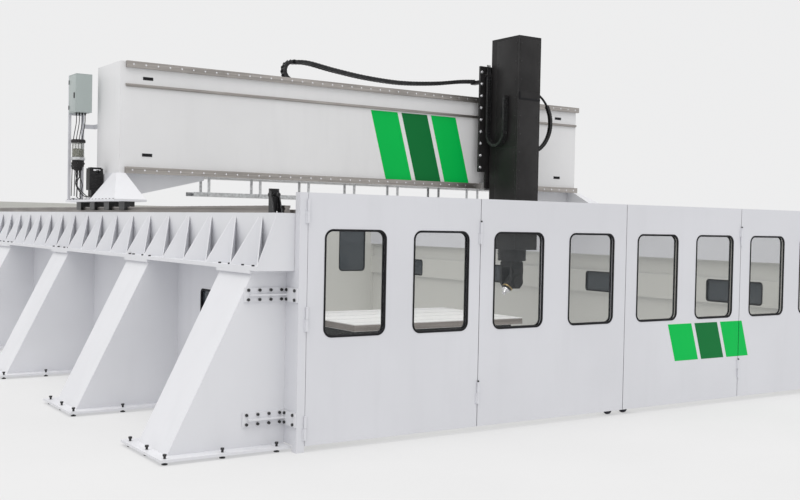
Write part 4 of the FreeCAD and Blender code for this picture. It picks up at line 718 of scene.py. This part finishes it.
def ram_chains():
    """The U beside the ram, between the carriage's arm and the ram's clip."""
    low, high = span("ram_chain")
    x, width, thick = (low.x + high.x) / 2, high.x - low.x, 0.046
    back, front = high.y - thick / 2, low.y + thick / 2
    radius = (back - front) / 2
    bend, clip = low.z + radius + thick / 2, span("ram_column")[0].z + 2.530
    runs = {
        "back": ([Vector((x, back, high.z)), Vector((x, back, bend))], high.z, bend * 2 - high.z),
        "bend": (arc((x, (back + front) / 2, bend), radius, 0, -180, (0, 1, 0), (0, 0, 1)), None, None),
        "front": ([Vector((x, front, bend)), Vector((x, front, clip))], bend * 2 - clip, clip),
    }
    for name, (line, start, end) in runs.items():
        shell = Shell()
        chain_links(shell, line, (1, 0, 0), width, thick, 0.045)
        made = shell.piece(f"ram_chain_{name}", None, "chain_plastic", "chain_plastic")
        inner = Shell()
        for offset in (-0.018, 0.012):
            inner.tube([p + Vector((offset, 0, 0)) for p in line], 0.009, 8)
        cables = inner.piece(f"ram_chain_cables_{name}", None, "chain_plastic", "hose_black")
        for part in (made, cables):
            if start is None:
                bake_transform(part)
            else:
                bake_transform(part)
        if name == "back":
            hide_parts("ram_chain")


LOOP_FITTING = ((0.034, 0), (0.034, 0.02), (0.026, 0.026), (0.024, 0.07), (0.018, 0.085))


def ram_hose():
    """Loop at the ram's right side: bare cable at the top, chain links below, and a green earth wire."""
    low, high = span("ram_hose_loop")
    y, width, thick = (low.y + high.y) / 2, high.y - low.y, 0.046
    radius = high.x - low.x - thick / 2
    centre = (low.x, y, (low.z + high.z) / 2)
    whole = arc(centre, radius, 90, -90, (1, 0, 0), (0, 0, 1), 48)
    shell = Shell()
    chain_links(shell, whole[15:], (0, 1, 0), width * 0.72, thick, 0.040)
    made = shell.piece("ram_loop_links", "ram", "chain_plastic", "chain_plastic")
    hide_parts("ram_hose_loop")
    shell = Shell()
    for offset, size in ((-0.014, 0.012), (0.013, 0.010)):
        shell.tube([p + Vector((0, offset, 0)) for p in whole], size, 10)
    for end in (whole[0], whole[-1]):
        shell.lathe(end, (1, 0, 0), LOOP_FITTING, 20)
    shell.piece("ram_loop_cables", "ram", "chain_plastic", "hose_black")
    shell = Shell()
    ring_centre = (low.x + 0.17, y - 0.03, centre[2] - radius - 0.03)
    ring = arc(ring_centre, 0.085, 100, -210, (1, 0, 0), (0, 0, 1), 28)
    shell.tube([Vector((low.x, y - 0.03, centre[2] - radius + 0.05))] + ring, 0.008, 8)
    shell.piece("earth_wire", "ram", "chain_plastic", "green_wire")


horizontal_chain()
ram_chains()
ram_hose()


# ------------------------------------------------------------------ carriage and ram
ram_low, ram_high = span("ram_column")
PLATE_FRONT = -0.990
RAM_LEFT, RAM_RIGHT, RAM_FRONT, RAM_BACK = 2.092, 2.572, ram_low.y, ram_high.y
RAM_X = (RAM_LEFT + RAM_RIGHT) / 2


WASHERED_SCREW = ((0.030, 0), (0.030, 0.004), (0.019, 0.006), (0.019, 0.019), (0.016, 0.022),
                  (0.010, 0.022), (0.008, 0.012), (0, 0.012))


def carriage_details():
    """Screws with washers down the plate's sides, bearing covers, and hoses that end on the chain's arm."""
    shell = Shell()
    for x in (RAM_X - 0.402, RAM_X + 0.402):
        for z in row(3.24, 4.86, 9):
            shell.lathe((x, PLATE_FRONT, z), (0, -1, 0), WASHERED_SCREW, 20)
    shell.piece("carriage_bolts", "carriage", "zinc", "bright_steel")
    shell = Shell()
    for x in (RAM_X - 0.205, RAM_X + 0.195):
        for z in row(3.30, 4.70, 5):
            shell.box((x, PLATE_FRONT - 0.030, z - 0.11), (x + 0.012, PLATE_FRONT, z + 0.11), 0.003)
    for z in (3.0, 3.1, 4.9):
        shell.box((RAM_X - 0.27, PLATE_FRONT - 0.014, z - 0.008),
                  (RAM_X - 0.06, PLATE_FRONT, z + 0.008), 0.003)
    shell.piece("carriage_covers", "carriage", "black_metal", "black_metal")
    arm_low = span("ram_chain")[1].z
    shell = Shell()
    x, y = span("ram_chain")[0].x + 0.045, span("ram_chain")[1].y - 0.02
    for offset in (-0.028, 0.0, 0.028):
        start = x + offset
        shell.lathe((start, y, arm_low + 0.05), (0, 0, 1),
                    ((0.014, 0), (0.014, 0.02), (0.010, 0.024), (0.010, 0.05)), 12)
        shell.tube(smooth_path([(start, y, arm_low + 0.09), (start, y + 0.01, arm_low + 0.17),
                                (start + 0.03, y + 0.05, arm_low + 0.20),
                                (start + 0.05, y + 0.066, arm_low + 0.12)]), 0.009, 8)
    shell.piece("carriage_hoses", "carriage", "black_metal", "hose_black")


def ram_details():
    """Cover panels, seams, screws, the step across the front, and the small port in the left face."""
    shell = Shell()
    step = ram_low.z + 2.50
    shell.box((RAM_LEFT + 0.02, RAM_FRONT - 0.006, step), (RAM_RIGHT, RAM_FRONT + 0.01, step + 0.030), 0.003)
    shell.box((RAM_LEFT + 0.02, RAM_FRONT - 0.014, step + 0.01),
              (RAM_LEFT + 0.06, RAM_FRONT + 0.01, step + 0.13), 0.006)
    shell.piece("ram_step", "ram", "black_metal", "gasket")
    shell = Shell()
    for low, high in ((ram_low.z + 0.04, step - 0.02), (step + 0.15, ram_high.z - 0.05)):
        shell.box((RAM_LEFT + 0.03, RAM_FRONT - 0.004, low),
                  (RAM_RIGHT - 0.03, RAM_FRONT + 0.002, high), 0.002)
    for low, high in ((ram_low.z + 0.04, ram_low.z + 1.7), (ram_low.z + 1.72, ram_high.z - 0.05)):
        for x in (RAM_LEFT - 0.003, RAM_RIGHT - 0.001):
            shell.box((x, RAM_FRONT + 0.04, low), (x + 0.004, RAM_BACK - 0.14, high), 0.002)
    shell.piece("ram_covers", "ram", "black_metal", "black_metal")
    shell = Shell()
    for z in row(ram_low.z + 0.12, ram_high.z - 0.12, 12):
        for x in (RAM_LEFT + 0.055, RAM_RIGHT - 0.055):
            shell.bolt((x, RAM_FRONT - 0.004, z), (0, -1, 0), 0.010, 0.004)
        for y in (RAM_FRONT + 0.07, RAM_BACK - 0.17):
            shell.bolt((RAM_LEFT - 0.003, y, z), (-1, 0, 0), 0.010, 0.004)
    shell.piece("ram_screws", "ram", "black_oxide", "black_oxide")
    shell = Shell()
    port = Vector((RAM_LEFT - 0.004, -1.36, 4.16))
    shell.box(port + Vector((-0.004, -0.035, -0.09)), port + Vector((0.002, 0.035, 0.09)), 0.002)
    shell.piece("ram_port", "ram", "black_metal", "gasket")


def stage_details():
    """Rings and screws round the rotary stage."""
    low, high = span("rotary_stage")
    centre, radius = Vector(((low.x + high.x) / 2, (low.y + high.y) / 2, low.z)), (high.x - low.x) / 2
    shell = Shell()
    for base, tall, grow in ((0.012, 0.030, 0.004), (0.080, 0.014, 0.003), (0.150, 0.030, 0.005)):
        shell.lathe(centre + Vector((0, 0, base)), (0, 0, 1), ((radius - 0.01, 0), (radius + grow, 0.003),
                    (radius + grow, tall - 0.003), (radius - 0.01, tall)), 64)
    shell.piece("stage_rings", "ram", "black_metal", "black_metal")
    shell = Shell()
    for k in range(24):
        angle = 2 * math.pi * k / 24
        out = Vector((math.cos(angle), math.sin(angle), 0))
        shell.bolt(centre + out * (radius + 0.001) + Vector((0, 0, 0.115)), out, 0.009, 0.006)
    shell.piece("stage_screws", "ram", "black_oxide", "black_oxide")


carriage_details()
ram_details()
stage_details()


# ------------------------------------------------------------------ head, spindle and tool
TILT = Vector((RAM_X, (ram_low.y + RAM_BACK) / 2, 1.310))
LEAN = math.radians(38)
NOSE = Vector((-math.sin(LEAN), 0, -math.cos(LEAN)))


def head_details():
    """Round covers over the trunnions on the fork's arms, each with a ring of screws."""
    low, high = span("head_fork")
    shell, screws = Shell(), Shell()
    for y, out in ((low.y, -1), (high.y, 1)):
        profile = ((0.100, 0), (0.100, 0.010), (0.092, 0.016), (0.045, 0.016), (0.040, 0.022), (0, 0.022))
        shell.lathe((TILT.x, y, TILT.z), (0, out, 0), profile, 48)
        for k in range(8):
            angle = 2 * math.pi * (k + 0.5) / 8
            across, rise = 0.070 * math.cos(angle), 0.070 * math.sin(angle)
            point = Vector((TILT.x + across, y + out * 0.016, TILT.z + rise))
            screws.bolt(point, (0, out, 0), 0.008, 0.006)
        shell.box((TILT.x - 0.10, min(y, y + out * 0.008), TILT.z + 0.13),
                  (TILT.x + 0.10, max(y, y + out * 0.008), TILT.z + 0.23), 0.003)
    shell.piece("head_covers", "head", "black_metal", "black_metal")
    screws.piece("head_screws", "head", "black_oxide", "black_oxide")


def spindle_details():
    """Motor's bands and fins, bearing flange and nose ring round the spindle housing."""
    shell = Shell()
    radius = 0.088
    for start in row(-0.150, 0.090, 9):
        shell.lathe(TILT, NOSE, ((radius - 0.002, start), (radius + 0.004, start + 0.003),
                                 (radius + 0.004, start + 0.011), (radius - 0.002, start + 0.014)), 48)
    shell.piece("spindle_fins", "spindle", "black_metal", "black_metal")
    shell = Shell()
    shell.lathe(TILT, NOSE, ((0.058, 0.168), (0.066, 0.172), (0.066, 0.186), (0.050, 0.194), (0.043, 0.196),
                             (0.043, 0.212), (0.037, 0.218), (0.030, 0.219)), 48)
    shell.piece("spindle_nose", "spindle", "bright_steel", "bright_steel")
    shell = Shell()
    shell.lathe(TILT, NOSE, ((0.0885, 0.118), (0.091, 0.122), (0.091, 0.132), (0.084, 0.142)), 48)
    shell.piece("spindle_band", "spindle", "bright_steel", "brass")
    shell = Shell()
    for k in range(12):
        angle = 2 * math.pi * k / 12
        side = NOSE.orthogonal().normalized()
        out = side * math.cos(angle) + NOSE.cross(side) * math.sin(angle)
        shell.box(TILT + NOSE * 0.252 + out * 0.0335 - Vector((0.0045, 0.0045, 0.010)),
                  TILT + NOSE * 0.252 + out * 0.0335 + Vector((0.0045, 0.0045, 0.010)), 0.002)
    shell.piece("collet_nut_lugs", "tool", "bright_steel", "bright_steel")


head_details()
spindle_details()


# ------------------------------------------------------------------ service frame, lubricator, motors
def lubricator():
    """Pump, silver band, clear reservoir half full of oil, ribbed cap and bracket."""
    low, high = span("lube_unit")
    axis = Vector((low.x + 0.100, low.y + 0.100, low.z))
    up = (0, 0, 1)
    shell = Shell()
    shell.lathe(axis, up, ((0.03, 0), (0.060, 0.004), (0.066, 0.05), (0.085, 0.06), (0.085, 0.148),
                           (0.05, 0.15)), 40)
    for k in range(6):
        angle = 2 * math.pi * k / 6
        out = Vector((math.cos(angle), math.sin(angle), 0))
        outlet = axis + out * 0.080 + Vector((0, 0, 0.105))
        shell.lathe(outlet, out, ((0.015, 0), (0.015, 0.014), (0.009, 0.018)), 10)
    pump = shell.piece("lube_pump", "gantry", "black_metal", "black_metal")
    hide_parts("lube_unit")
    shell = Shell()
    shell.lathe(axis, up, ((0.085, 0.150), (0.100, 0.153), (0.100, 0.192), (0.085, 0.195)), 40)
    shell.piece("lube_band", "gantry", "bright_steel", "zinc")
    shell = Shell()
    shell.lathe(axis, up, ((0.086, 0.195), (0.088, 0.198), (0.088, 0.405), (0.084, 0.405),
                           (0.084, 0.197)), 40)
    shell.piece("lube_reservoir", "gantry", "clear_reservoir", "reservoir")
    shell = Shell()
    shell.lathe(axis, up, ((0, 0.196), (0.082, 0.197), (0.082, 0.318), (0, 0.320)), 40)
    shell.piece("lube_oil", "gantry", "clear_reservoir", "oil")
    shell = Shell()
    shell.lathe(axis, up, ((0, 0.405), (0.100, 0.405), (0.100, 0.440), (0.094, 0.452), (0.03, 0.455),
                           (0, 0.455)), 40)
    for k in range(24):
        angle = 2 * math.pi * k / 24
        out = Vector((math.cos(angle), math.sin(angle), 0)) * 0.0985
        grip = axis + out
        shell.box(grip + Vector((-0.004, -0.004, 0.410)), grip + Vector((0.004, 0.004, 0.438)), 0.001)
    shell.box((axis.x - 0.060, axis.y + 0.07, axis.z + 0.02), (axis.x + 0.060, high.y, axis.z + 0.13), 0.004)
    shell.piece("lube_cap", "gantry", "black_metal", "black_metal")
    shell = Shell()
    for k, (end_x, end_y) in enumerate(((-4.58, -0.45), (-4.50, -0.12), (-4.54, 0.30), (-4.47, 0.36))):
        start = axis + Vector((0.03 * math.cos(k * 1.7), 0.03 * math.sin(k * 1.7), 0.0))
        shell.tube(smooth_path([start, start + Vector((0, 0, -0.07)),
                                (start.x - 0.05 + 0.03 * k, start.y - 0.02, 2.72),
                                ((start.x + end_x) / 2, (start.y + end_y) / 2, 2.57), (end_x, end_y, 2.535),
                                (end_x + 0.02, end_y - 0.02, 2.512)]), 0.0075, 8)
    shell.piece("lube_hoses", "gantry", "chain_plastic", "hose_black")


def junction_details():
    """Door with its rolled edge, hinges and latch, and cable glands underneath."""
    low, high = span("junction_box")
    shell = Shell()
    shell.box((low.x - 0.004, low.y + 0.012, low.z + 0.012),
              (low.x + 0.002, high.y - 0.012, high.z - 0.012), 0.003)
    shell.box((low.x - 0.002, low.y - 0.002, high.z - 0.004),
              (high.x + 0.002, high.y, high.z + 0.004), 0.003)
    shell.piece("junction_door", "gantry", "grey_case", "grey_case")
    shell = Shell()
    shell.box((low.x - 0.012, low.y + 0.05, low.z + 0.20),
              (low.x - 0.003, low.y + 0.10, low.z + 0.28), 0.003)
    for z in (low.z + 0.08, high.z - 0.10):
        shell.lathe((low.x - 0.006, high.y - 0.02, z - 0.03), (0, 0, 1),
                    ((0, 0), (0.007, 0), (0.007, 0.06), (0, 0.06)), 12)
    shell.piece("junction_latch", "gantry", "black_metal", "black_oxide")
    shell = Shell()
    for k in range(4):
        x, y = low.x + 0.05 + 0.042 * k, low.y + 0.14
        shell.lathe((x, y, low.z), (0, 0, -1),
                    ((0.016, 0), (0.016, 0.014), (0.011, 0.018), (0.011, 0.034)), 12)
        shell.tube(smooth_path([(x, y, low.z - 0.02), (x, y + 0.01, low.z - 0.16),
                                (x + 0.01, y + 0.18, low.z - 0.42), (x + 0.005, y + 0.195, low.z - 0.80),
                                (x - 0.005, y + 0.19, 2.56)]), 0.006, 8)
    shell.piece("junction_cables", "gantry", "chain_plastic", "hose_black")


def motor_details():
    """Ribs, end cap, connector and pale plate on each travel motor, with the bracket's screws."""
    low = span("drive_motors")[0]
    for side, name in ((-1, "left"), (1, "right")):
        x = side * 4.460
        y, base = -0.230, low.z
        shell = Shell()
        for z in row(base + 0.17, base + 0.39, 12):
            shell.box((x - 0.101, y - 0.078, z), (x + 0.101, y + 0.078, z + 0.006), 0.002)
        shell.box((x - 0.080, y - 0.060, base + 0.448), (x + 0.080, y + 0.060, base + 0.450 + 0.014), 0.004)
        shell.lathe((x - side * 0.02, y - 0.070, base + 0.40), (0, -1, 0),
                    ((0.026, 0), (0.026, 0.03), (0.019, 0.036), (0.016, 0.06)), 16)
        shell.piece(f"{name}_motor_ribs", "gantry", "black_metal", "black_metal")
        shell = Shell()
        shell.box((x - 0.045, y - 0.081, base + 0.412), (x + 0.055, y - 0.074, base + 0.436), 0.002)
        for dx in (-0.08, 0.08):
            for dy in (-0.08, 0.08):
                shell.bolt((x + dx, y + dy, base + 0.020), (0, 0, 1), 0.011, 0.010)
        shell.piece(f"{name}_motor_plate", "gantry", "zinc", "bright_steel")


def foot_details():
    """Bright clamp blocks and screws along the feet's base plates."""
    low, high = span("gantry_feet")
    blocks, screws = Shell(), Shell()
    top = low.z + 0.030
    for side in (-1, 1):
        outer = side * 4.677
        for y in row(low.y + 0.06, high.y - 0.06, 15):
            screws.bolt((outer - side * 0.011, y, top), (0, 0, 1), 0.009, 0.008)
        for y in (-0.52, -0.40, 0.02, 0.30):
            clamp = outer - side * 0.06
            blocks.box((clamp - 0.035, y - 0.03, top), (clamp + 0.035, y + 0.03, top + 0.028), 0.003)
        cover = outer - side * 0.11
        blocks.box((cover - 0.08, -0.62, top), (cover + 0.08, -0.345, top + 0.010), 0.003)
    blocks.piece("foot_clamps", "gantry", "zinc", "bright_steel")
    screws.piece("foot_screws", "gantry", "black_oxide", "black_oxide")


TRAY_FRONT, TRAY_FLOOR = -0.470, 2.605


def tray_cables():
    """Cables that lie side by side in the tray, each a little uneven."""
    floor_z, front = TRAY_FLOOR, TRAY_FRONT
    for look, offsets in (("hose_black", (0.06, 0.11, 0.20)), ("cable_grey", (0.085, 0.155, 0.235))):
        shell = Shell()
        for k, offset in enumerate(offsets):
            points = [(x, front + offset + 0.008 * math.sin(x * 2.1 + k * 1.9),
                       floor_z + 0.011 + 0.003 * (k % 2)) for x in row(-3.0, 3.0, 40)]
            shell.tube(points, 0.011, 8)
        shell.piece(f"tray_cables_{look}", "gantry", "chain_plastic", look)


lubricator()
junction_details()
motor_details()
foot_details()
tray_cables()


# ------------------------------------------------------------------ table, stops, castors, doors
def rounded_outline(left, right, low, high, radius, steps=8):
    """Points round a window's outline, in the XZ plane, with round corners."""
    corners = ((right - radius, high - radius, 0), (left + radius, high - radius, 90),
               (left + radius, low + radius, 180), (right - radius, low + radius, 270))
    points = []
    for x, z, start in corners:
        for k in range(steps + 1):
            angle = math.radians(start + 90 * k / steps)
            points.append((x + radius * math.cos(angle), z + radius * math.sin(angle)))
    return points


def seal_lip(shell, window, face, outwards):
    """Rubber lip round a window: a low crowned band on the panel's face that turns in to the glass."""
    left, right, low, high = window
    profile = ((0.0, 0.0), (-0.001, 0.003), (0.004, 0.006), (0.012, 0.007), (0.019, 0.005), (0.022, 0.0),
               (0.022, -0.010), (0.0, -0.010))
    rings = []
    for inset, proud in profile:
        outline = rounded_outline(left + inset, right - inset, low + inset, high - inset, 0.095 - inset)
        rings.append([shell.bm.verts.new((x, face + outwards * proud, z)) for x, z in outline])
    count = len(rings[0])
    for first, second in zip(rings, rings[1:] + rings[:1]):
        for k in range(count):
            after = (k + 1) % count
            shell.bm.faces.new((first[k], first[after], second[after], second[k]))


def door_seals():
    """Window rubbers of the four doors, a lip on each face."""
    for number in range(1, 5):
        low, high = span(f"door_{number}_seals")
        panel_low, panel_high = span(f"door_{number}_panel")
        middle = (panel_low.x + panel_high.x) / 2
        offset = low.x - panel_low.x
        width = high.x - offset - middle
        shell = Shell()
        for left in (low.x, high.x - width):
            window = (left, left + width, low.z, high.z)
            seal_lip(shell, window, DOOR_FACE, -1)
            seal_lip(shell, window, DOOR_FACE + DOOR_THICK, 1)
        made = shell.piece(f"door_{number}_window_rubbers", f"door_{number}", "gasket", "gasket")
        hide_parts(f"door_{number}_seals")


def table_details():
    """Brown-grey band round the table's edge, and T-slot rails let into its top."""
    low, high = span("table_top")
    shell = Shell()
    thick = 0.004
    bands = (((low.x - thick, low.y - thick), (high.x + thick, low.y)),
             ((low.x - thick, high.y), (high.x + thick, high.y + thick)),
             ((low.x - thick, low.y), (low.x, high.y)), ((high.x, low.y), (high.x + thick, high.y)))
    for (x0, y0), (x1, y1) in bands:
        shell.box((x0, y0, low.z + 0.004), (x1, y1, high.z - 0.012), 0.0012)
    shell.piece("table_edge_band", "frame", "rail_steel", "edge_band")
    shell = Shell()
    for y in row(low.y + 0.26, high.y - 0.26, 4):
        for offset in (-0.014, 0.008):
            shell.box((low.x + 0.02, y + offset, high.z - 0.002),
                      (high.x - 0.02, y + offset + 0.006, high.z + 0.0012), 0.0008)
    shell.piece("table_slots", "frame", "zinc", "zinc")


def stop_screws():
    """Anchor screws of the end stops, between their gussets."""
    low, high = span("end_stops")
    shell = Shell()
    for side in (-1, 1):
        for y in (low.y + 0.030, high.y - 0.030):
            shell.bolt((side * 4.545, y, low.z), (0, 0, 1), 0.012, 0.014)
    shell.piece("end_stop_screws", "frame", "zinc", "bright_steel")


def castor_details():
    """Nuts on the castors' axles and screws in the shelves above them."""
    for number, door in ((1, "door_2"), (2, "door_3")):
        low, high = span(f"castor_fork_{number}")
        wheel_low, wheel_high = span(f"castor_wheel_{number}")
        centre = (wheel_low + wheel_high) / 2
        shell = Shell()
        for x, out in ((low.x, -1), (high.x, 1)):
            edge = min(abs(x - centre.x), 0.027) * out + centre.x
            shell.lathe((edge, centre.y, centre.z), (out, 0, 0),
                        ((0.012, 0), (0.012, 0.007), (0.007, 0.009), (0, 0.009)), 6)
        shell.piece(f"castor_nuts_{number}", f"castor_fork_{number}", "zinc", "bright_steel")
        shell = Shell()
        shelf = high.z + 0.009
        for dx in (-0.042, 0.042):
            for dy in (-0.02, 0.045):
                shell.bolt((centre.x + dx, high.y - 0.04 + dy, shelf), (0, 0, 1), 0.009, 0.007)
        shell.piece(f"castor_screws_{number}", door, "zinc", "bright_steel")


def door_details():
    """Seam beads down the doors' edges, and the dark tips of the fold hinges' pins."""
    face = DOOR_FACE
    for number in range(1, 5):
        low, high = span(f"door_{number}_panel")
        shell = Shell()
        for x0, x1 in ((low.x, low.x + 0.0035), (high.x - 0.0035, high.x)):
            shell.box((x0, face - 0.0012, low.z + 0.004), (x1, face + 0.02, high.z - 0.004), 0.001)
        shell.piece(f"door_{number}_edges", f"door_{number}", "white_paint", "white_paint")
    for number, x, levels in ((2, -2.172, (2.16, 0.43)), (3, 2.170, (2.16, 0.43))):
        shell = Shell()
        for z in levels:
            shell.lathe((x, PIN_LINE, z + 0.118), (0, 0, 1),
                        ((0, 0), (0.010, 0), (0.010, 0.012), (0.006, 0.018), (0, 0.018)), 12)
        shell.piece(f"door_{number}_pin_tips", f"door_{number}", "black_oxide", "black_oxide")


table_details()
stop_screws()
castor_details()
door_details()
door_seals()
